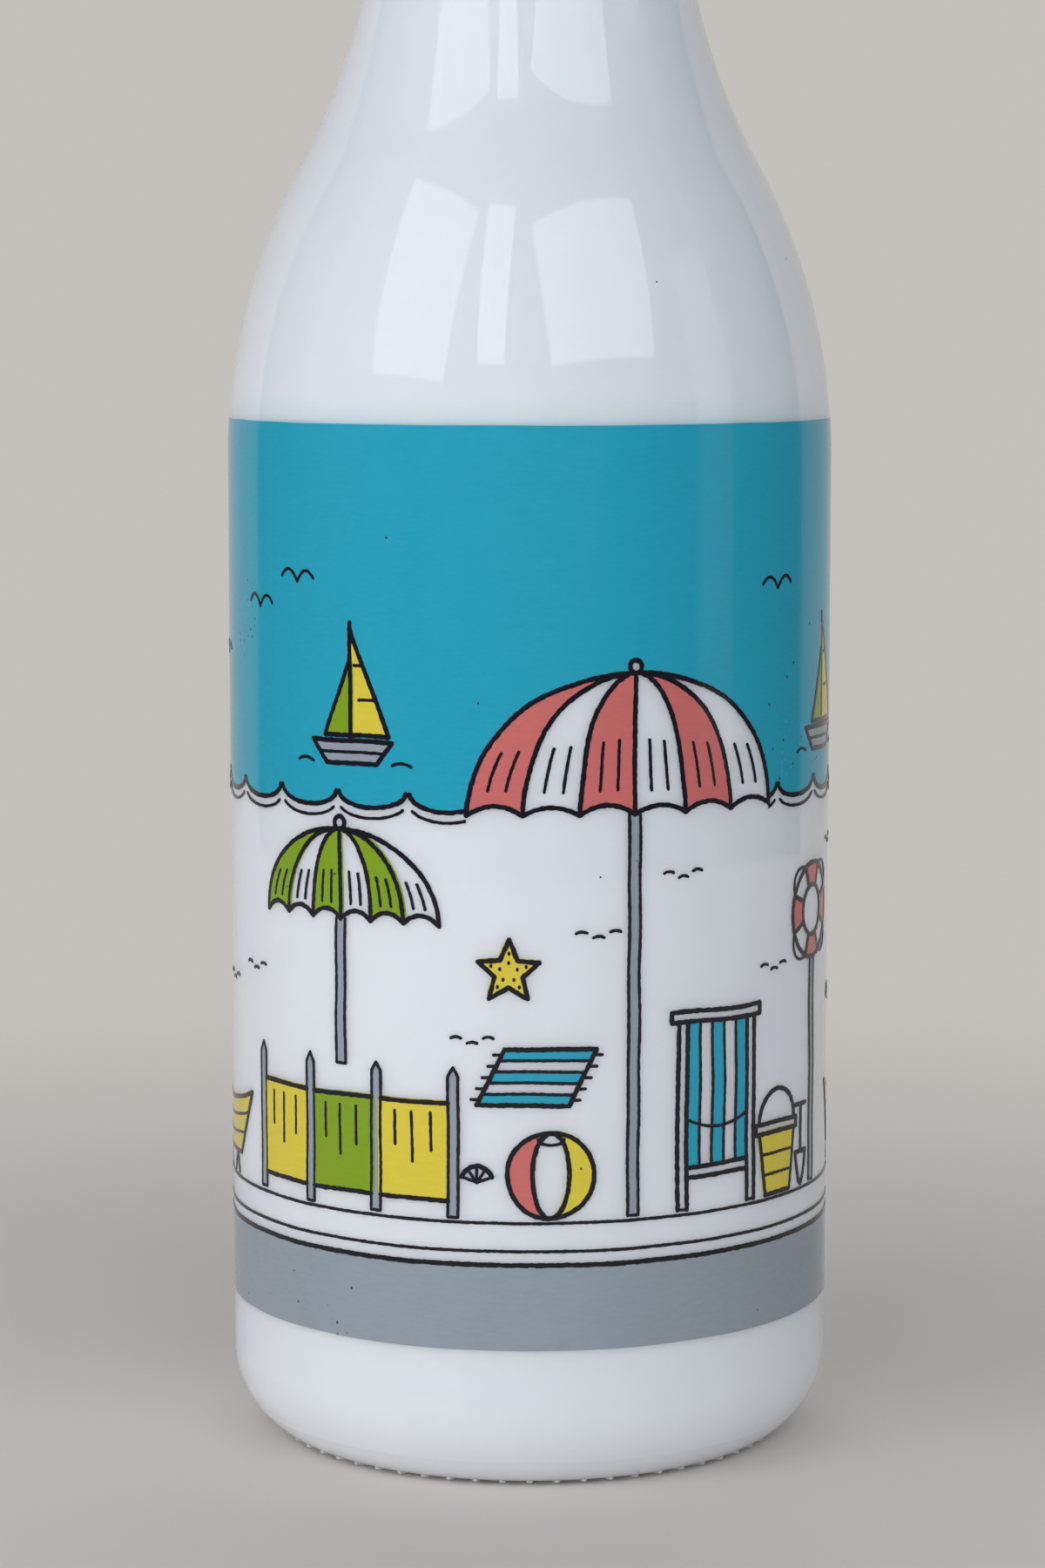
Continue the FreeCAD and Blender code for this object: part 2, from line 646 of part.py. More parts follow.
def main():
    os.makedirs("parts", exist_ok=True)
    nodes = {
        "glass_body": glass_body(),
        "glass_neck": glass_neck(),
        "cap_shell": cap_shell(),
        "cap_liner": cap_liner(),
    }
    for colour, solids in enamel_layers().items():
        nodes[colour + "_enamel"] = Part.makeCompound(solids)
    for name, shape in nodes.items():
        shape.exportStep("parts/" + name + ".step")
        print(name, "solids", len(shape.Solids), "volume", round(shape.Volume, 1), "valid", shape.isValid())


main()
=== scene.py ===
"""A milk bottle in white opal glass, with a fired enamel print and a press-on cap.

Shapes are drawn in millimetres and made in metres. The print is drawn flat, as it would look unrolled
from the body: the first number of a point runs along the print, positive to the right of the first
picture's middle, and the second is the height.
"""

import bmesh
import bpy
import math
import numpy
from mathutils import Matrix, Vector, geometry, noise


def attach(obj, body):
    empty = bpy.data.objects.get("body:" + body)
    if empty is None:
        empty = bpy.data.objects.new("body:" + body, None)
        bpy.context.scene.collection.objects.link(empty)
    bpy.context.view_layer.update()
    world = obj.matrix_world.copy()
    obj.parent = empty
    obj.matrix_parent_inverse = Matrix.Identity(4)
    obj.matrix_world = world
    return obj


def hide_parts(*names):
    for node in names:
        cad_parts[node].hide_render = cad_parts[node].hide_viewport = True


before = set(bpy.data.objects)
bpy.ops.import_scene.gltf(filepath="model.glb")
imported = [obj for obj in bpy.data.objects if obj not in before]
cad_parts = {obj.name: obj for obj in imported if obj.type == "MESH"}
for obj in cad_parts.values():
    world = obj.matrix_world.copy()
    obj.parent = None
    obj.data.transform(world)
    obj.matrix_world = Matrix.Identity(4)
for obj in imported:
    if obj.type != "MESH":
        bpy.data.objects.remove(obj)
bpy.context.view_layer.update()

# Units, and how finely pieces are made
MM = 0.001
SAME_PLACE = 0.001 * MM
CURVE_STEPS = 20
EASED_STEPS = 4
SHARP_CORNER = 32.0

# Glass: the profile
BODY_RADIUS = 45.0
GLASS_WALL = 3.0
HEEL_RADIUS = 14.0
BEARING_INSET = 8.3
BEARING_WIDTH = 5.7
PUSH_UP_HEIGHT = 5.0
BASE_THICKNESS = 5.0
SHOULDER_START = 147.5
SHOULDER_RADIUS = 88.3
NECK_RADIUS = 22.5
NECK_SWEEP_RADIUS = 93.2
STRAIGHT_NECK = 11.0
LIP_OVERHANG = 2.7
LIP_DEPTH = 10.0
LAND_WIDTH = 2.0
MOUTH_EDGE_RADIUS = 1.2
GLASS_SEGMENTS = 216

# Glass: the knurled foot and the seam that the mould leaves on the heel
KNURL_COUNT = 60
KNURL_HEIGHT = 0.65
KNURL_LENGTH = 5.0
KNURL_OUTREACH = 1.75
KNURL_WIDTH = 1.7
KNURL_ROUNDNESS = 0.8
KNURL_RINGS = 6
KNURL_SIDES = 12
HEEL_SEAM_ANGLE = -36.0
HEEL_SEAM_SPAN = 1.6
HEEL_SEAM_RISE = 0.06

# Cap and liner
CAP_CLEARANCE = 0.3
CAP_WALL = 1.4
CAP_TOP_THICKNESS = 1.8
CAP_PANEL_RECESS = 0.7
CAP_RIM_WIDTH = 4.0
CAP_EDGE_RADIUS = 1.2
CAP_SMALL_RADIUS = 0.25
CAP_GATE_RADIUS = 2.2
CAP_GATE_DEPTH = 0.3
CAP_RING_RADIUS = 15.0
CAP_RING_WIDTH = 1.2
CAP_RING_RISE = 0.35
SKIRT_DEPTH = 9.0
PLUG_DEPTH = 8.0
PLUG_WALL = 1.5
PLUG_LEAD_IN = 0.8
LINER_THICKNESS = 1.2
LINER_EDGE_RADIUS = 0.2
GRIP_RIB_COUNT = 60
GRIP_RIB_HEIGHT = 0.55
GRIP_RIB_END_GAP = 1.4
GRIP_RIB_SIDES = 6
GRIP_RIB_SINK = 0.14
GRIP_RIB_TAPER = 1.1
GRIP_RIB_END_SHARE = 0.15
TAB_REACH = 8.0
TAB_WIDTH = 16.0
TAB_THICKNESS = 1.6
TAB_ANGLE = 35.0
TAB_TIP_STEPS = 20
TAB_EDGE_RADIUS = 0.4
TAB_EDGE_STEPS = 3
CAP_SEGMENTS = 180

# Print: its coats and bands
COAT_THICKNESS = {
    "turquoise": 0.05,
    "grey": 0.06,
    "coral": 0.07,
    "yellow": 0.08,
    "green": 0.09,
    "black": 0.11,
}
OUTER_FACE_COSINE = 0.5
PROMENADE_FOOT = 21.8
PROMENADE_TOP = 34.1
KERB_LINE = 36.1
GROUND = 40.2
SHORE = 101.0
SKY_ONTO_SHOULDER = 5.5
SHEET_MARGIN = 3.0
WAVE_COUNT = 24
WAVE_DEPTH = 2.2
WAVE_GAP = 0.6
FOAM_DROP = 1.5
FOAM_HALF_ANGLE = 68.0
WAVES_LEFT_OF_MIDDLE = 4.5

# Print: lines of ink, and the hand that drew them
LINE = 0.7
THIN_LINE = 0.46
PEN_STEP = 0.36
FILL_STEP = 1.0
STRIP_WIDTH = 1.5
SHOULDER_STRIPS = 4
SAME_POINT = 0.002
HAND_SWAY = 0.28
BAND_SWAY = 0.08
HAND_SWAY_LENGTH = 9.0
PEN_WAVER = 0.32
PEN_WAVER_LENGTH = 0.5
ROUND_END_STEPS = 4

# Print: parasols
CANOPY_PANELS = 6
FOLDS_PER_PANEL = 2
CANOPY_HEM_ARCH = 1.3
CANOPY_APEX_ANGLE = 8.0
FOLD_TOP_ANGLE = 58.0
FOLD_FOOT_ANGLE = 80.0
FOLD_SHORTENING = 6.0
FINIAL_RADIUS = 0.9
POLE_WIDTH = 1.6
BIG_CANOPY_WIDTH = 48.0
BIG_CANOPY_RISE = 20.0
BIG_CANOPY_BELOW_SHORE = 2.6
SMALL_CANOPY_WIDTH = 32.0
SMALL_CANOPY_RISE = 13.0
SMALL_POLE_LENGTH = 21.0
SMALL_POLE_GAP = 0.4

# Print: things on the beach
WINDBREAK_PITCH = 12.0
WINDBREAK_PANEL_HEIGHT = 14.0
WINDBREAK_FOOT_GAP = 3.0
WINDBREAK_POST_WIDTH = 1.5
WINDBREAK_POST_HEIGHT = 21.0
WINDBREAK_POST_POINT = 1.3
WINDBREAK_FOLD_GAP = 1.5
WINDBREAK_FOLDS = ((-0.55, 0.45), (-0.05, 0.62), (0.5, 0.5))
DECKCHAIR_WIDTH = 11.0
DECKCHAIR_LEG = 6.8
DECKCHAIR_CANVAS_LENGTH = 21.0
DECKCHAIR_STRIPES = 5
DECKCHAIR_RAIL = 1.5
DECKCHAIR_BAR_OVERHANG = 1.2
DECKCHAIR_SAG = 1.4
DECKCHAIR_SEAT_SHARE = 1 / 3
BALL_RADIUS = 6.2
BALL_MIDDLE_SHARE = 0.42
BALL_POLE_ANGLE = 12.0
BALL_BUTTON_REACH = 1.8
BALL_BUTTON_DEPTH = 0.9
BUCKET_FOOT_WIDTH = 6.6
BUCKET_TOP_WIDTH = 9.4
BUCKET_HEIGHT = 9.0
BUCKET_RIM = 1.4
BUCKET_HANDLE_RISE = 5.0
BUCKET_PARTS = 3
SPADE_PLACE = 7.0
SPADE_BLADE_WIDTH = 3.4
SPADE_BLADE_LENGTH = 5.0
SPADE_SHAFT_LENGTH = 7.0
BUOY_RADIUS = 7.0
BUOY_HOLE_RADIUS = 3.7
BUOY_POST_LENGTH = 34.0
BUOY_BANDS = 4
BUOY_ROPE_BOW = 1.5
ROWING_BOAT_LENGTH = 28.0
ROWING_BOAT_KEEL = 17.0
ROWING_BOAT_HEIGHT = 10.0
ROWING_BOAT_SHEER = 2.5
ROWING_BOAT_LIFT = 3.8
ROWING_BOAT_PLANKS = 3
ROWING_BOAT_TRESTLE = 3.0
ROWING_BOAT_TRESTLE_SHARE = 2 / 3
TOWEL_LENGTH = 13.0
TOWEL_STRIPE = 1.6
TOWEL_STRIPES = 5
TOWEL_SLANT = 0.8
TOWEL_LIFT = 17.0
TOWEL_FRINGE = 1.2
STAR_RADIUS = 4.6
STAR_WAIST_RADIUS = 2.1
STAR_ARMS = 5
STAR_LIFT = 36.0
STAR_DOT_RADII = (1.3, 2.6)
DOT_LENGTH = 0.15
PEBBLE_LENGTH = 1.5
PEBBLE_BOW = 0.2
PEBBLE_SPREAD = 2.4
SHELL_RADIUS = 2.3
SHELL_RIBS = 5
SHELL_HALF_ANGLE = 70.0

# Print: boats at sea and gulls
SAILING_HULL_LENGTH = 14.0
SAILING_HULL_HEIGHT = 3.2
SAILING_HULL_RAKE = 2.6
SAILING_HULL_ABOVE_SHORE = 4.0
MAIN_SAIL_WIDTH = 6.4
MAIN_SAIL_HEIGHT = 15.0
JIB_WIDTH = 4.6
JIB_HEIGHT = 11.0
SAIL_LIFT = 0.8
SAIL_PARTS = 3
MAST_RISE = 0.9
BATTEN_SHARE = 2 / 3
RIPPLE_LENGTH = 3.0
RIPPLE_BOW = 0.4
GULL_SPAN = 7.0
GULL_BOW = 1.3
GULL_DROP = 0.7

# Print: places from the middle of each picture
PICTURE_COUNT = 2
BIG_PARASOL_PLACE = 15.0
SMALL_PARASOL_PLACE = -29.0
WINDBREAK_PLACE = -29.0
DECKCHAIR_PLACE = 29.0
BALL_PLACE = 3.0
BUCKET_PLACE = 42.0
BUOY_PLACE = 53.0
ROWING_BOAT_PLACE = 76.0
TOWEL_PLACE = -1.0
STAR_PLACE = -3.0
SAILING_BOAT_PLACES = (-27.0, 57.0)
GULL_PLACES = ((-47.0, 127.0), (-37.5, 131.0), (41.0, 130.0), (76.0, 119.0))
NEAR_PEBBLES = ((9.0, 81.0), (-9.0, 66.0), (22.0, 89.0), (-50.0, 73.0))
FAR_PEBBLES = ((40.0, 74.0), (64.0, 90.0), (80.0, 70.0))
SHELL_PLACES = ((-7.5, 46.0), (66.0, 66.0))

# Print: colours that change from one picture to the next, and how each coat sits against the ink
FIRST_PICTURE = {"big": "coral", "small": "green", "panels": ("yellow", "green", "yellow"), "hull": "coral"}
SECOND_PICTURE = {"big": "green", "small": "coral", "panels": ("coral", "yellow", "coral"), "hull": "yellow"}
PICTURES = (FIRST_PICTURE, SECOND_PICTURE)
REGISTER = {
    "turquoise": (0.0, 0.0),
    "grey": (0.06, -0.04),
    "coral": (0.05, 0.03),
    "yellow": (-0.12, 0.14),
    "green": (0.18, 0.1),
}
BLEED = {"turquoise": 0.05, "grey": 0.08, "coral": 0.08, "yellow": 0.3, "green": 0.32}

# Finishes, in linear light
OPAL_WHITE = (0.775, 0.795, 0.83)
ENAMELS = {
    "turquoise": (0.018, 0.32, 0.44),
    "grey": (0.27, 0.303, 0.337),
    "coral": (0.55, 0.14, 0.128),
    "yellow": (0.65, 0.52, 0.047),
    "green": (0.195, 0.315, 0.012),
    "black": (0.008, 0.007, 0.012),
}
# Painted light: a turquoise glow painted on the glass beside the print's top edge, standing in for light the
# enamel passes back through the milky glass
PAINTED_SEA_GLOW = (0.87, 0.985, 1.0)
SPECK_GREY = (0.04, 0.042, 0.042)
CAP_WHITE = (0.82, 0.82, 0.80)
LINER_GREY = (0.42, 0.40, 0.37)
FLOOR_LINEN = (0.765, 0.705, 0.65)
BACKDROP_LINEN = (0.55, 0.525, 0.495)
ROOM_BLUE = (0.86, 0.92, 1.0)
DAYLIGHT = (0.815, 0.905, 1.0)
ROOM_LIGHT = (0.95, 0.965, 1.0)

# Finishes: waves, grain and cells per metre, reliefs and depths in metres, heights as shares of a relief
OPAL_SURFACE = {
    "Waves": 26.0,
    "Grain": 900.0,
    "Grain Height": 0.004,
    "Grain Stretch": 0.5,
    "Smoothest": 0.012,
    "Roughest": 0.03,
}
ENAMEL_SURFACE = {
    "Waves": 26.0,
    "Grain": 2200.0,
    "Grain Height": 0.02,
    "Grain Stretch": 0.25,
    "Smoothest": 0.08,
    "Roughest": 0.15,
}
CAP_SURFACE = {
    "Waves": 60.0,
    "Grain": 3200.0,
    "Grain Height": 0.06,
    "Grain Stretch": 1.0,
    "Smoothest": 0.34,
    "Roughest": 0.46,
}
LINER_SURFACE = {
    "Waves": 90.0,
    "Grain": 2400.0,
    "Grain Height": 0.2,
    "Grain Stretch": 1.0,
    "Smoothest": 0.66,
    "Roughest": 0.8,
}

# Finishes: specks, with their size as a share of a cell, and the share of cells that hold one
OPAL_SPECKS = {"Cells": 300.0, "Size": 0.05, "Share": 0.25}
ENAMEL_SPECKS = {"Cells": 1100.0, "Size": 0.26, "Share": 0.3}
ENAMEL_PIMPLES = {"Cells": 900.0, "Size": 0.28, "Share": 0.8}
PIMPLE_HEIGHT = 0.4
CLUSTERS_PER_METRE = 30.0
CLUSTERING = 10.0

# Finishes: clouds and grain, and how far they change a colour
CLOUDS_PER_METRE = 140.0
CLOUD_DETAIL = 4.0
GRAIN_DETAIL = 2.0
WAVES_DETAIL = 1.0
NOISE_LOW = 0.3
NOISE_HIGH = 0.7
OPAL_CLOUD_TONE = 0.985
ENAMEL_CLOUD_TONE = 0.96
ENAMEL_GRAIN_TONE = 1.03
CAP_CLOUD_TONE = 0.95
LINER_GRAIN_TONE = 0.85

# Finishes: relief, gloss and the light that goes in
GLASS_RELIEF = 0.00012
CAP_RELIEF = 0.00015
GLASS_IOR = 1.58
ENAMEL_SPECULAR = 0.24
OPAL_MILKINESS = 0.75
OPAL_GLOW_DEPTH = 0.006
# How far the painted turquoise glow reaches from the print's top edge
PAINTED_GLOW_REACH = 5.0
CAP_MILKINESS = 0.15
CAP_GLOW_DEPTH = 0.0015

# Sockets of a Mix node that mixes colours
MIX_FACTOR = 0
MIX_FIRST = 6
MIX_SECOND = 7
MIX_RESULT = 2

# Stage: a round floor with a backdrop behind it
FLOOR_REACH = 700.0
FLOOR_SEGMENTS = 180
SWEEP_RADIUS = 900.0
BACKDROP_RISE = 900.0
BACKDROP_HALF_ANGLE = 57.0
SHADOW_START = 70.0
SHADOW_END = 420.0

# Lamps and camera, in metres, degrees and watts, with the lens in millimetres
WINDOWS = {
    "left_window": {"azimuth": -47.6, "elevation": 31.0, "width": 0.66, "height": 0.78, "power": 2.65},
    "middle_window": {"azimuth": -15.0, "elevation": 33.0, "width": 0.22, "height": 0.70, "power": 1.0},
    "right_window": {"azimuth": 28.5, "elevation": 33.0, "width": 0.9, "height": 0.68, "power": 3.4},
    "edge_window": {"azimuth": 73.0, "elevation": 12.0, "width": 0.36, "height": 0.90, "power": 0.6},
    "back_window": {"azimuth": 180.0, "elevation": 34.0, "width": 1.1, "height": 0.80, "power": 3.2},
}
FILLS = {
    "left_fill": {"azimuth": -72.0, "elevation": 3.0, "width": 1.2, "height": 0.4, "power": 5.0},
    "front_fill": {"azimuth": -5.0, "elevation": 2.0, "width": 1.6, "height": 0.35, "power": 6.8},
    "back_fill": {"azimuth": 150.0, "elevation": 6.0, "width": 1.6, "height": 0.4, "power": 3.4},
    "top_fill": {"azimuth": -10.0, "elevation": 65.0, "width": 1.2, "height": 0.8, "power": 0.45},
}
LAMP_DISTANCE = 1.2
LAMP_AIM = 0.15
LAMP_SOFT_EDGE = 0.03
ROOM_STRENGTH = 0.157
CAMERA_PLACE = (-0.00105, -0.6233, 0.1705)
CAMERA_TILT = 6.66
CAMERA_LENS = 95.43
CAMERA_SENSOR = 36.0
CAMERA_NEAREST = 0.01

# What follows from the sizes
BORE_RADIUS = NECK_RADIUS - GLASS_WALL
LIP_RADIUS = NECK_RADIUS + LIP_OVERHANG
BEARING_OUTER_RADIUS = BODY_RADIUS - BEARING_INSET
BEARING_INNER_RADIUS = BEARING_OUTER_RADIUS - BEARING_WIDTH
HEEL_TOP = math.sqrt(HEEL_RADIUS**2 - (HEEL_RADIUS - BEARING_INSET) ** 2)
OGEE_RADII = SHOULDER_RADIUS + NECK_SWEEP_RADIUS
NECK_START = SHOULDER_START + math.sqrt(OGEE_RADII**2 - (OGEE_RADII - BODY_RADIUS + NECK_RADIUS) ** 2)
SHOULDER_TURN = math.degrees(math.asin((NECK_START - SHOULDER_START) / OGEE_RADII))
MOUTH = NECK_START + STRAIGHT_NECK + LIP_DEPTH
LINER_TOP = MOUTH + LINER_THICKNESS
CAP_INNER_RADIUS = LIP_RADIUS + CAP_CLEARANCE
CAP_OUTER_RADIUS = CAP_INNER_RADIUS + CAP_WALL
PLUG_RADIUS = BORE_RADIUS - CAP_CLEARANCE
SKIRT_FOOT = MOUTH - SKIRT_DEPTH
CAP_TOP = LINER_TOP + CAP_TOP_THICKNESS
SKY_TOP = SHOULDER_START + SKY_ONTO_SHOULDER
SHEET_TOP = SKY_TOP + SHEET_MARGIN
PRINT_LENGTH = 2 * math.pi * BODY_RADIUS
PICTURE_LENGTH = PRINT_LENGTH / PICTURE_COUNT
WAVE_PITCH = PRINT_LENGTH / WAVE_COUNT
PRINT_SEAM = -WAVES_LEFT_OF_MIDDLE * WAVE_PITCH
STANDING = GROUND + LINE


# Nodes, for the trees that make pieces and for the materials


def add_node(tree, kind, inputs=None, **settings):
    """A new node's outputs, once its settings are made and its inputs are linked or set."""
    made = tree.nodes.new(kind)
    for name, value in settings.items():
        setattr(made, name, value)
    for name, value in (inputs or {}).items():
        for item in value if isinstance(value, list) else [value]:
            if isinstance(item, bpy.types.NodeSocket):
                tree.links.new(item, made.inputs[name])
            else:
                made.inputs[name].default_value = item
    return made.outputs


def calculate(tree, operation, first, second=0.0):
    return add_node(tree, "ShaderNodeMath", {0: first, 1: second}, operation=operation)[0]


def numbers(*names):
    """Sockets for numbers."""
    return {name: "NodeSocketFloat" for name in names}


def new_tree(name, kind, inputs, outputs):
    """A tree with named sockets, and the outputs of its input node."""
    tree = bpy.data.node_groups.new(name, kind)
    for in_out, sockets in (("INPUT", inputs), ("OUTPUT", outputs)):
        for label, socket_type in sockets.items():
            tree.interface.new_socket(label, in_out=in_out, socket_type=socket_type)
    return tree, add_node(tree, "NodeGroupInput")


def new_piece_tree(name, inputs):
    sockets = {"Geometry": "NodeSocketGeometry", **inputs, "Material": "NodeSocketMaterial"}
    return new_tree(name, "GeometryNodeTree", sockets, {"Geometry": "NodeSocketGeometry"})


def merged(tree, shape):
    """A shape with its points joined where they meet."""
    meeting = {"Geometry": shape, "Distance": SAME_PLACE}
    return add_node(tree, "GeometryNodeMergeByDistance", meeting)[0]


def finish_tree(tree, shape, given):
    """Ends a tree with real geometry that carries its material."""
    real = add_node(tree, "GeometryNodeRealizeInstances", {"Geometry": shape})[0]
    dressed = add_node(tree, "GeometryNodeSetMaterial", {"Geometry": real, "Material": given["Material"]})[0]
    add_node(tree, "NodeGroupOutput", {"Geometry": dressed})
    return tree


def turning_tree():
    """Carries a profile, drawn as radius and height, round the axis."""
    sizes = {"Segments": "NodeSocketInt", **numbers("Path Radius")}
    tree, given = new_piece_tree("turn_about_axis", sizes)
    back = calculate(tree, "MULTIPLY", given["Path Radius"], -1.0)
    shift = add_node(tree, "ShaderNodeCombineXYZ", {"X": back})[0]
    drawn = add_node(tree, "GeometryNodeMeshToCurve", {"Mesh": given["Geometry"]})[0]
    turned_over = {"Geometry": drawn, "Translation": shift, "Scale": (1.0, -1.0, 1.0)}
    profile = add_node(tree, "GeometryNodeTransform", turned_over)[0]
    circle = {"Resolution": given["Segments"], "Radius": given["Path Radius"]}
    path = add_node(tree, "GeometryNodeCurvePrimitiveCircle", circle)[0]
    wall = add_node(tree, "GeometryNodeCurveToMesh", {"Curve": path, "Profile Curve": profile})[0]
    return finish_tree(tree, merged(tree, wall), given)


def ring_tree():
    """Copies of a piece, evenly spaced round the axis."""
    tree, given = new_piece_tree("ring_of_copies", {"Count": "NodeSocketInt"})
    points = add_node(tree, "GeometryNodeMeshLine", {"Count": given["Count"], "Offset": (0.0, 0.0, 0.0)})[0]
    index = add_node(tree, "GeometryNodeInputIndex")[0]
    step = calculate(tree, "DIVIDE", 2 * math.pi, given["Count"])
    euler = add_node(tree, "ShaderNodeCombineXYZ", {"Z": calculate(tree, "MULTIPLY", index, step)})[0]
    turn = add_node(tree, "FunctionNodeEulerToRotation", {"Euler": euler})[0]
    placed = {"Points": points, "Instance": given["Geometry"], "Rotation": turn}
    copies = add_node(tree, "GeometryNodeInstanceOnPoints", placed)[0]
    return finish_tree(tree, copies, given)


def wrapping_tree():
    """Lays a flat print round the body and onto the foot of the shoulder, and gives it its thickness."""
    sizes = numbers("Thickness", "Body Radius", "Shoulder Start", "Shoulder Radius")
    tree, given = new_piece_tree("wrap_on_body", sizes)
    position = add_node(tree, "GeometryNodeInputPosition")[0]
    place = add_node(tree, "ShaderNodeSeparateXYZ", {"Vector": position})
    angle = calculate(tree, "DIVIDE", place["X"], given["Body Radius"])
    above = calculate(tree, "SUBTRACT", place["Y"], given["Shoulder Start"])
    above_squared = calculate(tree, "POWER", calculate(tree, "MAXIMUM", above, 0.0), 2.0)
    curve_squared = calculate(tree, "POWER", given["Shoulder Radius"], 2.0)
    reach = calculate(tree, "SQRT", calculate(tree, "SUBTRACT", curve_squared, above_squared))
    drop = calculate(tree, "SUBTRACT", given["Shoulder Radius"], reach)
    skin = calculate(tree, "SUBTRACT", given["Body Radius"], drop)
    right = calculate(tree, "MULTIPLY", skin, calculate(tree, "SINE", angle))
    front_way = calculate(tree, "MULTIPLY", skin, calculate(tree, "COSINE", angle))
    back_way = calculate(tree, "MULTIPLY", front_way, -1.0)
    wrapped = add_node(tree, "ShaderNodeCombineXYZ", {"X": right, "Y": back_way, "Z": place["Y"]})[0]
    laid = add_node(tree, "GeometryNodeSetPosition", {"Geometry": given["Geometry"], "Position": wrapped})[0]
    base = merged(tree, laid)

    raised = {"Mesh": base, "Offset Scale": given["Thickness"], "Individual": False}
    front = add_node(tree, "GeometryNodeExtrudeMesh", raised)[0]
    back = add_node(tree, "GeometryNodeFlipFaces", {"Mesh": base})[0]
    both = add_node(tree, "GeometryNodeJoinGeometry", {"Geometry": [front, back]})[0]
    return finish_tree(tree, merged(tree, both), given)


# Pieces from drawn meshes


def rows_joined(rows, length, closed=False):
    """Four-sided faces between rows of points, with the rows closed and the ends capped, or all open."""
    faces = []
    for row in range(0, (rows - 1) * length, length):
        for i in range(length if closed else length - 1):
            after = (i + 1) % length
            faces.append((row + i, row + after, row + length + after, row + length + i))
    if closed:
        first = list(range(length))
        faces += [first[::-1], [(rows - 1) * length + i for i in first]]
    return faces


def new_piece(name, points, edges, faces):
    """An object whose points are drawn in millimetres."""
    mesh = bpy.data.meshes.new(name)
    mesh.from_pydata([Vector(point) * MM for point in points], edges, faces)
    piece = bpy.data.objects.new(name, mesh)
    bpy.context.collection.objects.link(piece)
    return piece


def grown(piece, tree, values):
    """The piece, with its mesh replaced by what a tree makes of it."""
    modifier = piece.modifiers.new(tree.name, "NODES")
    modifier.node_group = tree
    for socket in tree.interface.items_tree:
        if socket.in_out == "INPUT" and socket.name in values:
            modifier[socket.identifier] = values[socket.name]
    return made_plain(piece)


def made_plain(piece):
    """The piece, with what its modifiers make as its mesh."""
    graph = bpy.context.evaluated_depsgraph_get()
    piece.data = bpy.data.meshes.new_from_object(piece.evaluated_get(graph), depsgraph=graph)
    piece.modifiers.clear()
    return piece


def turned(name, profile, segments, finish, closed=False):
    """A turned piece from the points of its profile."""
    edges = [(i, i + 1) for i in range(len(profile) - 1)]
    if closed:
        edges.append((len(profile) - 1, 0))
    drawn = new_piece(name, [(radius, height, 0.0) for radius, height in profile], edges, [])
    return grown(drawn, TURNING, {"Segments": segments, "Path Radius": MM, "Material": finish})


def ring_of(piece, count, finish):
    return grown(piece, RING, {"Count": count, "Material": finish})


def joined(name, pieces, finish):
    """One piece of several, smooth but for its sharp corners."""
    body = bmesh.new()
    for piece in pieces:
        body.from_mesh(piece.data)
        bpy.data.objects.remove(piece)
    whole = new_piece(name, [], [], [])
    bmesh.ops.recalc_face_normals(body, faces=body.faces)
    for face in body.faces:
        face.smooth = True
    body.to_mesh(whole.data)
    body.free()
    whole.data.materials.append(finish)
    whole.data.set_sharp_from_angle(angle=math.radians(SHARP_CORNER))
    return whole


# Profiles


def turns_between(start, end, steps):
    """Even turns from one angle, in degrees, to another."""
    return [math.radians(start + (end - start) * i / steps) for i in range(steps + 1)]


def arc(centre, radius, start, end, steps):
    """Points on a circle from one angle to another, in degrees from the outward way, upwards."""
    turns = turns_between(start, end, steps)
    return [(centre[0] + radius * math.cos(t), centre[1] + radius * math.sin(t)) for t in turns]


def arc_through(start, crown, end, steps):
    """Points on the arc from start to end by way of its crown."""
    a, b, c = Vector(start), Vector(crown), Vector(end)
    turn = 2 * (a.x * (b.y - c.y) + b.x * (c.y - a.y) + c.x * (a.y - b.y))
    squares = [point.length_squared for point in (a, b, c)]
    x = (squares[0] * (b.y - c.y) + squares[1] * (c.y - a.y) + squares[2] * (a.y - b.y)) / turn
    y = (squares[0] * (c.x - b.x) + squares[1] * (a.x - c.x) + squares[2] * (b.x - a.x)) / turn
    centre = Vector((x, y))
    first, last = a - centre, c - centre
    angles = [math.degrees(math.atan2(way.y, way.x)) for way in (first, last)]
    return arc(centre, first.length, angles[0], angles[1], steps)


def with_neighbours(outline):
    """Each point of a closed outline, between the point before it and the point after it."""
    return zip(outline[-1:] + outline[:-1], outline, outline[1:] + outline[:1])


def rounded(corners, radius):
    """A closed outline with its corners rounded."""
    outline = []
    for before, corner, after in with_neighbours(corners):
        corner = Vector(corner)
        back = (Vector(before) - corner).normalized() * radius
        on = (Vector(after) - corner).normalized() * radius
        for i in range(EASED_STEPS + 1):
            share = i / EASED_STEPS
            outline.append(corner + back * (1 - share) ** 2 + on * share**2)
    return [tuple(point) for point in outline]


# Glass


def heel_arc():
    """The heel from the bearing ring up, with the faint seam that the mould leaves on it."""
    centre = (BODY_RADIUS - HEEL_RADIUS, HEEL_TOP)
    start = -math.degrees(math.asin(HEEL_TOP / HEEL_RADIUS))
    low, high = HEEL_SEAM_ANGLE - HEEL_SEAM_SPAN, HEEL_SEAM_ANGLE + HEEL_SEAM_SPAN
    below = arc(centre, HEEL_RADIUS, start, low, CURVE_STEPS)
    seam = arc(centre, HEEL_RADIUS + HEEL_SEAM_RISE, HEEL_SEAM_ANGLE, HEEL_SEAM_ANGLE, 1)[:1]
    return below + seam + arc(centre, HEEL_RADIUS, high, 0.0, CURVE_STEPS)


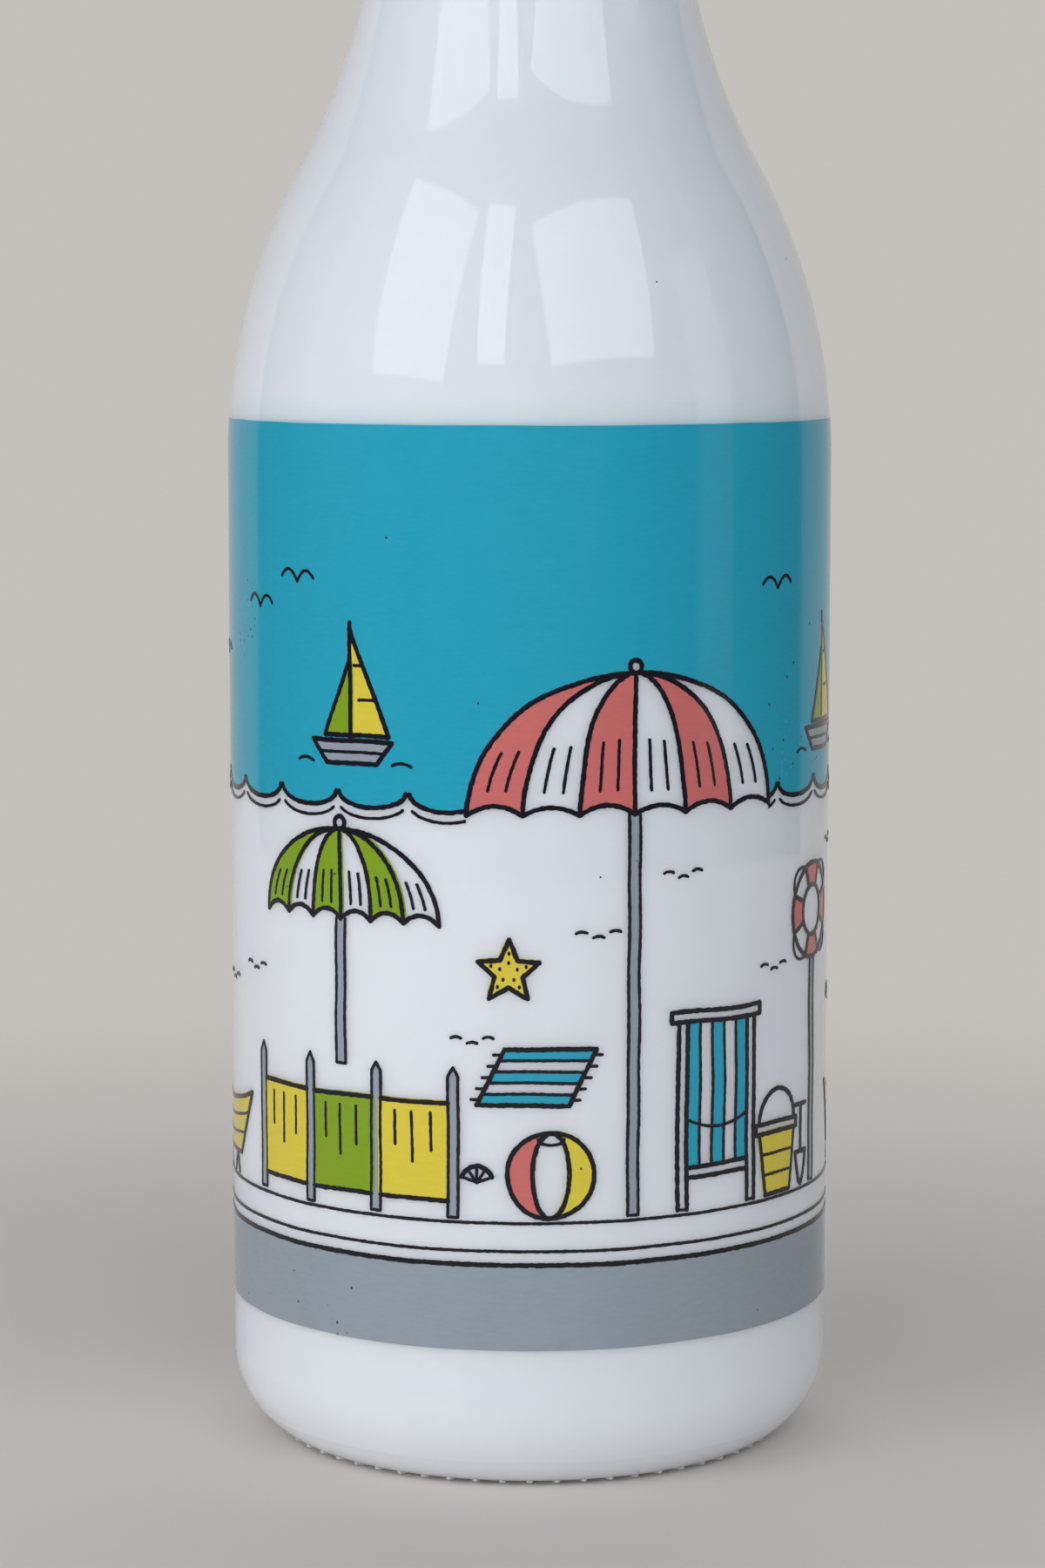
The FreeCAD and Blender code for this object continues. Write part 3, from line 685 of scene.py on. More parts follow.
def glass_profile():
    """The glass from the middle of its base, round the outside and down the inside to its floor."""
    heel_centre = (BODY_RADIUS - HEEL_RADIUS, HEEL_TOP)
    shoulder_centre = (BODY_RADIUS - SHOULDER_RADIUS, SHOULDER_START)
    neck_centre = (NECK_RADIUS + NECK_SWEEP_RADIUS, NECK_START)
    dome_radius = (BEARING_INNER_RADIUS**2 + PUSH_UP_HEIGHT**2) / (2 * PUSH_UP_HEIGHT)
    dome_centre = (0.0, PUSH_UP_HEIGHT - dome_radius)
    dome_edge = math.degrees(math.acos(BEARING_INNER_RADIUS / dome_radius))
    outside = arc(dome_centre, dome_radius, 90.0, dome_edge, CURVE_STEPS)
    outside += heel_arc()
    outside += arc(shoulder_centre, SHOULDER_RADIUS, 0.0, SHOULDER_TURN, CURVE_STEPS)
    outside += arc(neck_centre, NECK_SWEEP_RADIUS, 180.0 + SHOULDER_TURN, 180.0, CURVE_STEPS)[1:]

    lip_foot = (NECK_RADIUS, MOUTH - LIP_DEPTH)
    lip_crown = (LIP_RADIUS, MOUTH - LIP_DEPTH / 2)
    land_out = (BORE_RADIUS + MOUTH_EDGE_RADIUS + LAND_WIDTH, MOUTH)
    edge_centre = (BORE_RADIUS + MOUTH_EDGE_RADIUS, MOUTH - MOUTH_EDGE_RADIUS)
    outside += arc_through(lip_foot, lip_crown, land_out, CURVE_STEPS)
    mouth = arc(edge_centre, MOUTH_EDGE_RADIUS, 90.0, 180.0, CURVE_STEPS // 2)

    inner_heel_radius = HEEL_RADIUS - GLASS_WALL
    floor_radius = dome_radius + BASE_THICKNESS
    meets = geometry.intersect_sphere_sphere_2d(dome_centre, floor_radius, heel_centre, inner_heel_radius)
    corner = max(meets, key=lambda point: point.x)
    heel_end = math.degrees(math.atan2(corner.y - heel_centre[1], corner.x - heel_centre[0]))
    floor_start = math.degrees(math.acos(corner.x / floor_radius))
    inside = arc(neck_centre, NECK_SWEEP_RADIUS + GLASS_WALL, 180.0, 180.0 + SHOULDER_TURN, CURVE_STEPS)
    inside += arc(shoulder_centre, SHOULDER_RADIUS - GLASS_WALL, SHOULDER_TURN, 0.0, CURVE_STEPS)[1:]
    inside += arc(heel_centre, inner_heel_radius, 0.0, heel_end, CURVE_STEPS)
    inside += arc(dome_centre, floor_radius, floor_start, 90.0, CURVE_STEPS)[1:]
    return [(radius, max(height, KNURL_HEIGHT)) for radius, height in outside + mouth + inside]


def knurl():
    """One rounded bump of the foot, half sunk in the glass, that reaches down to the floor."""
    middle = BEARING_OUTER_RADIUS + KNURL_OUTREACH - KNURL_LENGTH / 2
    points = [(middle, 0.0, 0.0)]
    faces = []
    for ring in range(1, KNURL_RINGS + 1):
        slope = KNURL_ROUNDNESS * math.pi * ring / KNURL_RINGS
        for side in range(KNURL_SIDES):
            turn = 2 * math.pi * side / KNURL_SIDES
            out = KNURL_LENGTH / 2 * math.sin(slope) * math.cos(turn)
            aside = KNURL_WIDTH / 2 * math.sin(slope) * math.sin(turn)
            points.append((middle + out, aside, KNURL_HEIGHT * (1 - math.cos(slope))))
    for side in range(KNURL_SIDES):
        after = (side + 1) % KNURL_SIDES
        faces.append((0, 1 + after, 1 + side))
        for ring in range(KNURL_RINGS - 1):
            low, high = 1 + ring * KNURL_SIDES, 1 + (ring + 1) * KNURL_SIDES
            faces.append((low + side, low + after, high + after, high + side))
    faces.append([1 + (KNURL_RINGS - 1) * KNURL_SIDES + side for side in range(KNURL_SIDES)])
    return new_piece("knurl", points, [], faces)


def opal_bottle(finish):
    wall = turned("glass_wall", glass_profile(), GLASS_SEGMENTS, finish)
    foot = ring_of(knurl(), KNURL_COUNT, finish)
    return joined("opal_bottle", [wall, foot], finish)


# Cap and liner


def cap_profile():
    """The cap from the middle of its top, down the skirt, and by way of the plug to the middle underneath."""
    panel = CAP_TOP - CAP_PANEL_RECESS
    panel_radius = CAP_OUTER_RADIUS - CAP_RIM_WIDTH
    plug_foot = MOUTH - PLUG_DEPTH
    plug_inside = PLUG_RADIUS - PLUG_WALL
    edge_centre = (CAP_OUTER_RADIUS - CAP_EDGE_RADIUS, CAP_TOP - CAP_EDGE_RADIUS)
    gate = panel - CAP_GATE_DEPTH
    ring_top = panel + CAP_RING_RISE
    ring_inside = CAP_RING_RADIUS - CAP_RING_WIDTH / 2
    ring_outside = CAP_RING_RADIUS + CAP_RING_WIDTH / 2
    top = [(0.0, gate), (CAP_GATE_RADIUS - CAP_GATE_DEPTH, gate), (CAP_GATE_RADIUS, panel)]
    top += [(ring_inside - CAP_RING_RISE, panel), (ring_inside, ring_top)]
    top += [(ring_outside, ring_top), (ring_outside + CAP_RING_RISE, panel)]
    top += [(panel_radius - CAP_PANEL_RECESS, panel), (panel_radius, CAP_TOP)]
    edge = arc(edge_centre, CAP_EDGE_RADIUS, 90.0, 0.0, CURVE_STEPS // 2)
    foot = SKIRT_FOOT + CAP_SMALL_RADIUS
    outer_foot = (CAP_OUTER_RADIUS - CAP_SMALL_RADIUS, foot)
    inner_foot = (CAP_INNER_RADIUS + CAP_SMALL_RADIUS, foot)
    skirt = arc(outer_foot, CAP_SMALL_RADIUS, 0.0, -90.0, EASED_STEPS)
    skirt += arc(inner_foot, CAP_SMALL_RADIUS, -90.0, -180.0, EASED_STEPS)
    seat = [(CAP_INNER_RADIUS, LINER_TOP), (PLUG_RADIUS, LINER_TOP)]
    plug = [(PLUG_RADIUS, plug_foot + PLUG_LEAD_IN), (PLUG_RADIUS - PLUG_LEAD_IN, plug_foot)]
    plug += [(plug_inside, plug_foot), (plug_inside, LINER_TOP), (0.0, LINER_TOP)]
    return top + edge + skirt + seat + plug


def grip_rib():
    """One upright rib, rounded outwards, with its back and both its ends sunk in the skirt."""
    foot = SKIRT_FOOT + GRIP_RIB_END_GAP
    top = CAP_TOP - CAP_EDGE_RADIUS - GRIP_RIB_END_GAP
    low, high = foot + GRIP_RIB_TAPER, top - GRIP_RIB_TAPER
    levels = ((foot, GRIP_RIB_END_SHARE), (low, 1.0), (high, 1.0), (top, GRIP_RIB_END_SHARE))
    points = []
    for height, share in levels:
        for side in range(GRIP_RIB_SIDES + 1):
            turn = math.pi * (side / GRIP_RIB_SIDES - 0.5)
            out = (GRIP_RIB_HEIGHT + GRIP_RIB_SINK) * share * math.cos(turn) - GRIP_RIB_SINK
            points.append((CAP_OUTER_RADIUS + out, GRIP_RIB_HEIGHT * math.sin(turn), height))
    return new_piece("grip_rib", points, [], rows_joined(len(levels), GRIP_RIB_SIDES + 1, closed=True))


def thumb_tab():
    """A round-ended tongue at the foot of the skirt, with its edges eased."""
    root = CAP_INNER_RADIUS + CAP_WALL / 2
    tip_middle = CAP_OUTER_RADIUS + TAB_REACH - TAB_WIDTH / 2
    outline = arc((tip_middle, 0.0), TAB_WIDTH / 2, -90.0, 90.0, TAB_TIP_STEPS)
    half_angle = math.degrees(math.asin(TAB_WIDTH / 2 / root))
    outline += arc((0.0, 0.0), root, half_angle, -half_angle, TAB_TIP_STEPS)
    turn = math.radians(TAB_ANGLE)
    levels = (SKIRT_FOOT, SKIRT_FOOT + TAB_THICKNESS)
    points = []
    for height in levels:
        for x, y in outline:
            across = x * math.cos(turn) - y * math.sin(turn)
            along = x * math.sin(turn) + y * math.cos(turn)
            points.append((across, along, height))
    tab = new_piece("thumb_tab", points, [], rows_joined(len(levels), len(outline), closed=True))
    bevel = tab.modifiers.new("eased_edges", "BEVEL")
    bevel.width = TAB_EDGE_RADIUS * MM
    bevel.segments = TAB_EDGE_STEPS
    return made_plain(tab)


def cap_moulding(finish):
    shell = turned("cap_wall", cap_profile(), CAP_SEGMENTS, finish)
    ribs = ring_of(grip_rib(), GRIP_RIB_COUNT, finish)
    return joined("cap_moulding", [shell, ribs, thumb_tab()], finish)


def sealing_ring(finish):
    inner, outer = PLUG_RADIUS + CAP_CLEARANCE, CAP_INNER_RADIUS - CAP_CLEARANCE
    corners = [(inner, MOUTH), (outer, MOUTH), (outer, LINER_TOP), (inner, LINER_TOP)]
    ring = turned("ring_wall", rounded(corners, LINER_EDGE_RADIUS), CAP_SEGMENTS, finish, closed=True)
    return joined("sealing_ring", [ring], finish)


# Print: points and outlines on the unrolled body


def on_body(along, height):
    angle = along / BODY_RADIUS
    return Vector((BODY_RADIUS * math.sin(angle), -BODY_RADIUS * math.cos(angle), height))


def hand_drawn(along, height, amount):
    """A point as a hand would put it, a little off, the same for all that meets there."""
    place = on_body(along, height) / HAND_SWAY_LENGTH
    elsewhere = place + Vector((0.0, 0.0, PRINT_LENGTH))
    return Vector((along + amount * noise.noise(place), height + amount * noise.noise(elsewhere)))


def resampled(points, step):
    """The same path with a point at least every step."""
    path = [Vector(points[0])]
    for start, end in zip(points, points[1:]):
        start, end = Vector(start), Vector(end)
        count = max(1, math.ceil((end - start).length / step))
        path += [start.lerp(end, (i + 1) / count) for i in range(count)]
    return path


def waver(point, side):
    """How much wider or narrower a line of ink is here, on one of its sides."""
    place = on_body(point.x, point.y) / PEN_WAVER_LENGTH
    return 1.0 + PEN_WAVER * noise.noise(place + Vector((0.0, 0.0, side * PRINT_LENGTH)))


def pen_outline(path, width):
    """The outline of a line of ink along a path, with round ends."""
    left, right, ends = [], [], []
    last = len(path) - 1
    for i, point in enumerate(path):
        way = (path[min(i + 1, last)] - path[max(i - 1, 0)]).normalized()
        aside = Vector((-way.y, way.x)) * width / 2
        left.append(point + aside * waver(point, 1))
        right.append(point - aside * waver(point, -1))
        if i in (0, last):
            ends.append((point, way * width / 2, aside))
    caps = []
    for (point, way, aside), sense in zip(ends, (-1, 1)):
        turns = [math.pi * (i / ROUND_END_STEPS - 0.5) for i in range(1, ROUND_END_STEPS)]
        caps.append([point + sense * (way * math.cos(t) + aside * math.sin(t)) for t in turns])
    return right + caps[1] + left[::-1] + caps[0]


def spread(outline, amount):
    """An outline moved outwards by an amount."""
    turn = 1.0 if signed_area(outline) > 0 else -1.0
    moved = []
    for before, point, after in with_neighbours(outline):
        way = (after - before).normalized()
        moved.append(point + Vector((way.y, -way.x)) * amount * turn)
    return moved


def signed_area(outline):
    return sum(a.x * b.y - b.x * a.y for _, a, b in with_neighbours(outline)) / 2


def ellipse_arc(half_width, half_height, middle, start, end, steps=CURVE_STEPS):
    """Points on an ellipse from one angle to another, in degrees from its top, clockwise."""
    turns = turns_between(start, end, steps)
    return [(half_width * math.sin(t), middle + half_height * math.cos(t)) for t in turns]


def circle(radius, middle):
    return ellipse_arc(radius, radius, middle, 0.0, 360.0, 2 * CURVE_STEPS)


def bowed(start, end, rise, steps=CURVE_STEPS // 2):
    """Points from start to end that bow upwards by rise."""
    shares = [i / steps for i in range(steps + 1)]
    points = [Vector(start).lerp(Vector(end), share) for share in shares]
    return [(point.x, point.y + 4 * rise * share * (1 - share)) for point, share in zip(points, shares)]


def box(left, right, foot, top):
    return [(left, foot), (right, foot), (right, top), (left, top)]


class Sheet:
    """The unrolled print: areas by colour, lines of ink, and what stands bare in front of the sea."""

    def __init__(self):
        self.areas = {colour: [] for colour in ENAMELS}
        self.sea = []
        self.shore_lines = []
        self.bare = []
        self.place = 0.0
        self.sway = HAND_SWAY

    def drawn(self, points, step):
        """A path from the middle of its motif, as a hand draws it on the sheet."""
        path = resampled(points, step)
        return [hand_drawn(self.place + point.x, point.y, self.sway) for point in path]

    def closed(self, outline):
        return self.drawn(outline + outline[:1], FILL_STEP)[:-1]

    def fill(self, colour, outline):
        """An area of a colour, a little off its place and spread under the ink."""
        shift = Vector(REGISTER[colour])
        self.areas[colour].append([point + shift for point in spread(self.closed(outline), BLEED[colour])])

    def stroke(self, points, width):
        return pen_outline(self.drawn(points, PEN_STEP), width)

    def line(self, points, width=LINE):
        self.areas["black"].append(self.stroke(points, width))

    def thin(self, points):
        self.line(points, THIN_LINE)

    def sides(self, corners, width=LINE):
        for _, start, end in with_neighbours(corners):
            self.line([start, end], width)

    def panel(self, colour, corners, width=LINE):
        """An area with a line of ink along each of its sides."""
        self.fill(colour, corners)
        self.sides(corners, width)

    def keep_bare(self, outline):
        """Keeps the sea, and the lines of its shore, off an area."""
        self.bare.append(self.closed(outline))


# Print: motifs, each drawn about its own middle


def canopy_rib(width, rise, hem, share, top=CANOPY_APEX_ANGLE, foot=90.0):
    """The rib at a share of the half width, from the apex down to the hem."""
    return ellipse_arc(width / 2 * share, rise, hem, top, foot)


def pole(sheet, foot, top):
    half = POLE_WIDTH / 2
    sheet.fill("grey", box(-half, half, foot, top))
    for side in (-half, half):
        sheet.thin([(side, foot), (side, top)])
    sheet.thin([(-half, foot), (half, foot)])


def parasol(sheet, width, rise, hem, foot, colour):
    """A canopy of panels, every second one coloured, on its pole."""
    shares = [2 * i / CANOPY_PANELS - 1 for i in range(CANOPY_PANELS + 1)]
    ribs = [canopy_rib(width, rise, hem, share) for share in shares]
    hems = [bowed(left[-1], right[-1], CANOPY_HEM_ARCH) for left, right in zip(ribs, ribs[1:])]
    for i in range(0, CANOPY_PANELS, 2):
        sheet.fill(colour, ribs[i] + hems[i][1:-1] + ribs[i + 1][::-1])
    for rib in ribs:
        sheet.line(rib)
    for hem_edge, left, right in zip(hems, shares, shares[1:]):
        sheet.line(hem_edge)
        for fold in range(1, FOLDS_PER_PANEL + 1):
            share = left + (right - left) * fold / (FOLDS_PER_PANEL + 1)
            fold_top = FOLD_TOP_ANGLE + abs(share) * FOLD_SHORTENING
            sheet.thin(canopy_rib(width, rise, hem, share, fold_top, FOLD_FOOT_ANGLE))
    sheet.line(ellipse_arc(width / 2, rise, hem, -CANOPY_APEX_ANGLE, CANOPY_APEX_ANGLE))
    finial = hem + rise + FINIAL_RADIUS
    sheet.line(circle(FINIAL_RADIUS, finial))
    pole(sheet, foot, hem)
    sheet.keep_bare(ellipse_arc(width / 2, rise, hem, -90.0, 90.0, 2 * CURVE_STEPS))
    sheet.keep_bare(box(-width / 2, width / 2, hem - FOAM_DROP, hem))
    sheet.keep_bare(circle(FINIAL_RADIUS, finial))


def big_parasol(sheet, colours):
    hem = SHORE - BIG_CANOPY_BELOW_SHORE
    parasol(sheet, BIG_CANOPY_WIDTH, BIG_CANOPY_RISE, hem, STANDING, colours["big"])


def small_parasol(sheet, colours):
    """A parasol further off, that stands on the sand above the windbreak."""
    foot = GROUND + WINDBREAK_POST_HEIGHT + SMALL_POLE_GAP
    parasol(sheet, SMALL_CANOPY_WIDTH, SMALL_CANOPY_RISE, foot + SMALL_POLE_LENGTH, foot, colours["small"])


def windbreak(sheet, colours):
    """Cloth panels side by side between pointed posts."""
    foot = GROUND + WINDBREAK_FOOT_GAP
    top = foot + WINDBREAK_PANEL_HEIGHT
    half_post = WINDBREAK_POST_WIDTH / 2
    half_panel = WINDBREAK_PITCH / 2 - half_post
    count = len(colours["panels"])
    for i, colour in enumerate(colours["panels"]):
        middle = WINDBREAK_PITCH * (i - (count - 1) / 2)
        panel = box(middle - half_panel, middle + half_panel, foot, top)
        sheet.fill(colour, panel)
        sheet.line(panel[:2])
        sheet.line(panel[2:])
        for share, depth in WINDBREAK_FOLDS:
            fold = middle + share * half_panel
            low = top - depth * WINDBREAK_PANEL_HEIGHT
            sheet.thin([(fold, top - WINDBREAK_FOLD_GAP), (fold, low)])
    for i in range(count + 1):
        middle = WINDBREAK_PITCH * (i - count / 2)
        post_top = GROUND + WINDBREAK_POST_HEIGHT
        post = box(middle - half_post, middle + half_post, STANDING, post_top)
        post.insert(-1, (middle, post_top + WINDBREAK_POST_POINT))
        sheet.panel("grey", post, THIN_LINE)


def deckchair(sheet, colours):
    """A chair seen from the front: striped canvas between two rails, with a bar at its top and its foot."""
    half = DECKCHAIR_WIDTH / 2
    foot = GROUND + DECKCHAIR_LEG
    top = foot + DECKCHAIR_CANVAS_LENGTH
    stripe = DECKCHAIR_WIDTH / DECKCHAIR_STRIPES
    for i in range(DECKCHAIR_STRIPES):
        left = stripe * i - half
        if i % 2 == 0:
            sheet.fill("turquoise", box(left, left + stripe, foot, top))
        else:
            sheet.thin([(left, foot), (left, top)])
            sheet.thin([(left + stripe, foot), (left + stripe, top)])
    for side in (-1, 1):
        inner, outer = side * half, side * (half + DECKCHAIR_RAIL)
        sheet.line([(inner, STANDING), (inner, top)])
        sheet.line([(outer, STANDING), (outer, top)])
        sheet.thin([(inner, STANDING), (outer, STANDING)])
    reach = half + DECKCHAIR_RAIL + DECKCHAIR_BAR_OVERHANG
    sheet.sides(box(-reach, reach, top, top + DECKCHAIR_RAIL))
    sheet.sides(box(-half, half, foot - DECKCHAIR_RAIL, foot))
    seat = foot + DECKCHAIR_CANVAS_LENGTH * DECKCHAIR_SEAT_SHARE
    sheet.thin(bowed((-half, seat), (half, seat), -DECKCHAIR_SAG))


def ball(sheet, colours):
    """A beach ball with a bare panel between two coloured ones."""
    middle = STANDING + BALL_RADIUS
    for side, colour in ((-1, "coral"), (1, "yellow")):
        inner_width = side * BALL_RADIUS * BALL_MIDDLE_SHARE
        outer = ellipse_arc(side * BALL_RADIUS, BALL_RADIUS, middle, BALL_POLE_ANGLE, 180 - BALL_POLE_ANGLE)
        inner = ellipse_arc(inner_width, BALL_RADIUS, middle, 180 - BALL_POLE_ANGLE, BALL_POLE_ANGLE)
        sheet.fill(colour, outer + inner)
        sheet.line(inner)
    sheet.line(circle(BALL_RADIUS, middle))
    button = middle + BALL_RADIUS - BALL_BUTTON_DEPTH
    sheet.thin(ellipse_arc(BALL_BUTTON_REACH, BALL_BUTTON_DEPTH, button, 90.0, 270.0))


def bucket(sheet, colours):
    """A bucket with its rim and handle, and a spade in the sand beside it."""
    low, high = BUCKET_FOOT_WIDTH / 2, BUCKET_TOP_WIDTH / 2
    rim = STANDING + BUCKET_HEIGHT
    sheet.panel("yellow", [(-low, STANDING), (low, STANDING), (high, rim), (-high, rim)])
    lip = high + BUCKET_RIM / 2
    sheet.sides(box(-lip, lip, rim, rim + BUCKET_RIM))
    sheet.line(ellipse_arc(high, BUCKET_HANDLE_RISE, rim + BUCKET_RIM, -90.0, 90.0))
    for i in range(1, BUCKET_PARTS):
        width = low + (high - low) * i / BUCKET_PARTS
        hoop = STANDING + BUCKET_HEIGHT * i / BUCKET_PARTS
        sheet.thin([(-width, hoop), (width, hoop)])

    half = SPADE_BLADE_WIDTH / 2
    shoulder = STANDING + SPADE_BLADE_LENGTH
    grip = shoulder + SPADE_SHAFT_LENGTH
    left, right = (SPADE_PLACE - half, shoulder), (SPADE_PLACE + half, shoulder)
    sheet.line(bowed(left, right, -SPADE_BLADE_LENGTH))
    sheet.line([left, right])
    sheet.line([(SPADE_PLACE, shoulder), (SPADE_PLACE, grip)])
    sheet.line([(SPADE_PLACE - half, grip), (SPADE_PLACE + half, grip)])


def lifebuoy(sheet, colours):
    """A ring with coloured bands, as wide as the bare ones between them, and its rope, on a post."""
    post_top = GROUND + BUOY_POST_LENGTH
    middle = post_top + BUOY_RADIUS
    turn = 360 / BUOY_BANDS
    for i in range(BUOY_BANDS):
        start, end = turn * i - turn / 4, turn * i + turn / 4
        outer = ellipse_arc(BUOY_RADIUS, BUOY_RADIUS, middle, start, end)
        inner = ellipse_arc(BUOY_HOLE_RADIUS, BUOY_HOLE_RADIUS, middle, end, start)
        sheet.fill("coral", outer + inner)
        sheet.line([outer[0], inner[-1]])
        sheet.line([outer[-1], inner[0]])
        rope = ellipse_arc(BUOY_RADIUS, BUOY_RADIUS, middle, end, end + turn / 2)
        slack = []
        for j, (along, height) in enumerate(rope):
            out = 1 + BUOY_ROPE_BOW / BUOY_RADIUS * math.sin(math.pi * j / CURVE_STEPS)
            slack.append((along * out, middle + (height - middle) * out))
        sheet.thin(slack)
    sheet.line(circle(BUOY_RADIUS, middle))
    sheet.line(circle(BUOY_HOLE_RADIUS, middle))
    pole(sheet, STANDING, post_top)


def rowing_boat(sheet, colours):
    """The side of a planked boat with raking ends, on two trestles."""
    keel = GROUND + ROWING_BOAT_LIFT
    low, high = ROWING_BOAT_KEEL / 2, ROWING_BOAT_LENGTH / 2

    def plank(share):
        half = low + (high - low) * share
        height = keel + ROWING_BOAT_HEIGHT * share
        return bowed((-half, height), (half, height), -ROWING_BOAT_SHEER * share)

    rail = plank(1.0)
    bottom = plank(0.0)
    sheet.fill(colours["hull"], bottom + rail[::-1])
    sheet.line(rail)
    sheet.line(bottom)
    for end in (0, -1):
        sheet.line([bottom[end], rail[end]])
    for i in range(1, ROWING_BOAT_PLANKS):
        sheet.thin(plank(i / ROWING_BOAT_PLANKS))
    for side in (-1, 1):
        middle = side * low * ROWING_BOAT_TRESTLE_SHARE
        for foot in (middle - ROWING_BOAT_TRESTLE / 2, middle + ROWING_BOAT_TRESTLE / 2):
            sheet.line([(middle, keel), (foot, STANDING)])


def towel(sheet, colours):
    """A striped towel that lies slanting on the sand, with a fringe at both ends."""
    half = TOWEL_LENGTH / 2
    for i in range(TOWEL_STRIPES + 1):
        foot = GROUND + TOWEL_LIFT + TOWEL_STRIPE * i
        shift = TOWEL_SLANT * i
        width = LINE if i in (0, TOWEL_STRIPES) else THIN_LINE
        sheet.line([(shift - half, foot), (shift + half, foot)], width)
        if i == TOWEL_STRIPES:
            break
        top, next_shift = foot + TOWEL_STRIPE, shift + TOWEL_SLANT
        if i % 2 == 0:
            low = [(shift - half, foot), (shift + half, foot)]
            high = [(next_shift + half, top), (next_shift - half, top)]
            sheet.fill("turquoise", low + high)
        for side in (-1, 1):
            sheet.line([(shift + side * half, foot), (next_shift + side * half, top)])
            middle = (shift + next_shift) / 2 + side * half
            height = (foot + top) / 2
            sheet.thin([(middle, height), (middle + side * TOWEL_FRINGE, height)])


def starfish(sheet, colours):
    middle = GROUND + STAR_LIFT
    corners = []
    for i in range(2 * STAR_ARMS):
        radius = STAR_WAIST_RADIUS if i % 2 else STAR_RADIUS
        angle = math.pi * i / STAR_ARMS
        corners.append((radius * math.sin(angle), middle + radius * math.cos(angle)))
        for reach in () if i % 2 else STAR_DOT_RADII:
            dot = (reach * math.sin(angle), middle + reach * math.cos(angle))
            sheet.thin([dot, (dot[0], dot[1] + DOT_LENGTH)])
    sheet.panel("yellow", corners)


def sailing_boat(sheet, colours):
    """A hull with a main sail and a jib, seen from the side."""
    keel = SHORE + SAILING_HULL_ABOVE_SHORE
    deck = keel + SAILING_HULL_HEIGHT
    half = SAILING_HULL_LENGTH / 2
    foot = deck + SAIL_LIFT
    peak = foot + MAIN_SAIL_HEIGHT
    head = foot + JIB_HEIGHT
    hull = [(-half, deck), (SAILING_HULL_RAKE - half, keel), (half - SAILING_HULL_RAKE, keel), (half, deck)]
    main = [(0.0, foot), (MAIN_SAIL_WIDTH, foot), (0.0, peak)]
    jib = [(0.0, foot), (0.0, head), (-JIB_WIDTH, foot)]
    for colour, outline in (("grey", hull), (colours["panels"][0], main), ("green", jib)):
        sheet.panel(colour, outline)
        sheet.keep_bare(outline)
    sheet.line([(0.0, deck), (0.0, peak + MAST_RISE)])
    for i in range(1, SAIL_PARTS):
        width = MAIN_SAIL_WIDTH * (1 - i / SAIL_PARTS)
        height = foot + MAIN_SAIL_HEIGHT * i / SAIL_PARTS
        sheet.thin([(width, height), (width * (1 - BATTEN_SHARE), height)])
    stripe = (keel + deck) / 2
    sheet.thin([(SAILING_HULL_RAKE / 2 - half, stripe), (half - SAILING_HULL_RAKE / 2, stripe)])
    for side in (-1, 1):
        sheet.thin(bowed((side * half, keel), (side * (half + RIPPLE_LENGTH), keel), RIPPLE_BOW))


def gull(sheet, height):
    """Two bent wings."""
    for side in (-1, 1):
        sheet.thin(bowed((side * GULL_SPAN / 2, height), (0.0, height - GULL_DROP), GULL_BOW))


def pebbles(sheet, height):
    """Three short strokes on the sand."""
    for i in (-1, 0, 1):
        along = PEBBLE_SPREAD * i
        lift = height + PEBBLE_LENGTH / 2 * (i % 2)
        sheet.thin(bowed((along, lift), (along + PEBBLE_LENGTH, lift), PEBBLE_BOW))


def shell(sheet, height):
    """A fan of ribs under a round edge."""
    fan = (SHELL_RADIUS, SHELL_RADIUS, height, -SHELL_HALF_ANGLE, SHELL_HALF_ANGLE)
    sheet.line(ellipse_arc(*fan))
    for end in ellipse_arc(*fan, SHELL_RIBS - 1):
        sheet.thin([(0.0, height), end])


def waves(sheet):
    """The rounded edge of the sea, with a line of foam below it."""
    half = (WAVE_PITCH - WAVE_GAP) / 2
    edge = ellipse_arc(half, WAVE_DEPTH, SHORE, 90.0, 270.0)
    foam_ends = (180.0 - FOAM_HALF_ANGLE, 180.0 + FOAM_HALF_ANGLE)
    foam = ellipse_arc(half, WAVE_DEPTH, SHORE - FOAM_DROP, *foam_ends)
    tuck = SHORE + WAVE_GAP
    for i in range(WAVE_COUNT):
        sheet.place = WAVE_PITCH * i + PRINT_SEAM + WAVE_PITCH / 2
        sheet.sea.append(sheet.closed(edge + [(-half, tuck), (half, tuck)]))
        sheet.shore_lines += [sheet.stroke(edge, LINE), sheet.stroke(foam, THIN_LINE)]


def all_round(level):
    """A level line right round the body, one step past the seam at both ends."""
    count = round(PRINT_LENGTH / FILL_STEP)
    return [(PRINT_SEAM + PRINT_LENGTH * i / count, level) for i in range(-1, count + 2)]


def bands(sheet):
    """The plain bands and lines that run right round the body."""
    sheet.place = 0.0
    sheet.sway = BAND_SWAY
    sheet.sea.append(sheet.closed(all_round(SHORE) + all_round(SKY_TOP)[::-1]))
    sheet.fill("grey", all_round(PROMENADE_FOOT) + all_round(PROMENADE_TOP)[::-1])
    for level, width in ((PROMENADE_TOP, LINE), (KERB_LINE, THIN_LINE), (GROUND, THIN_LINE)):
        sheet.line(all_round(level), width)
    sheet.sway = HAND_SWAY


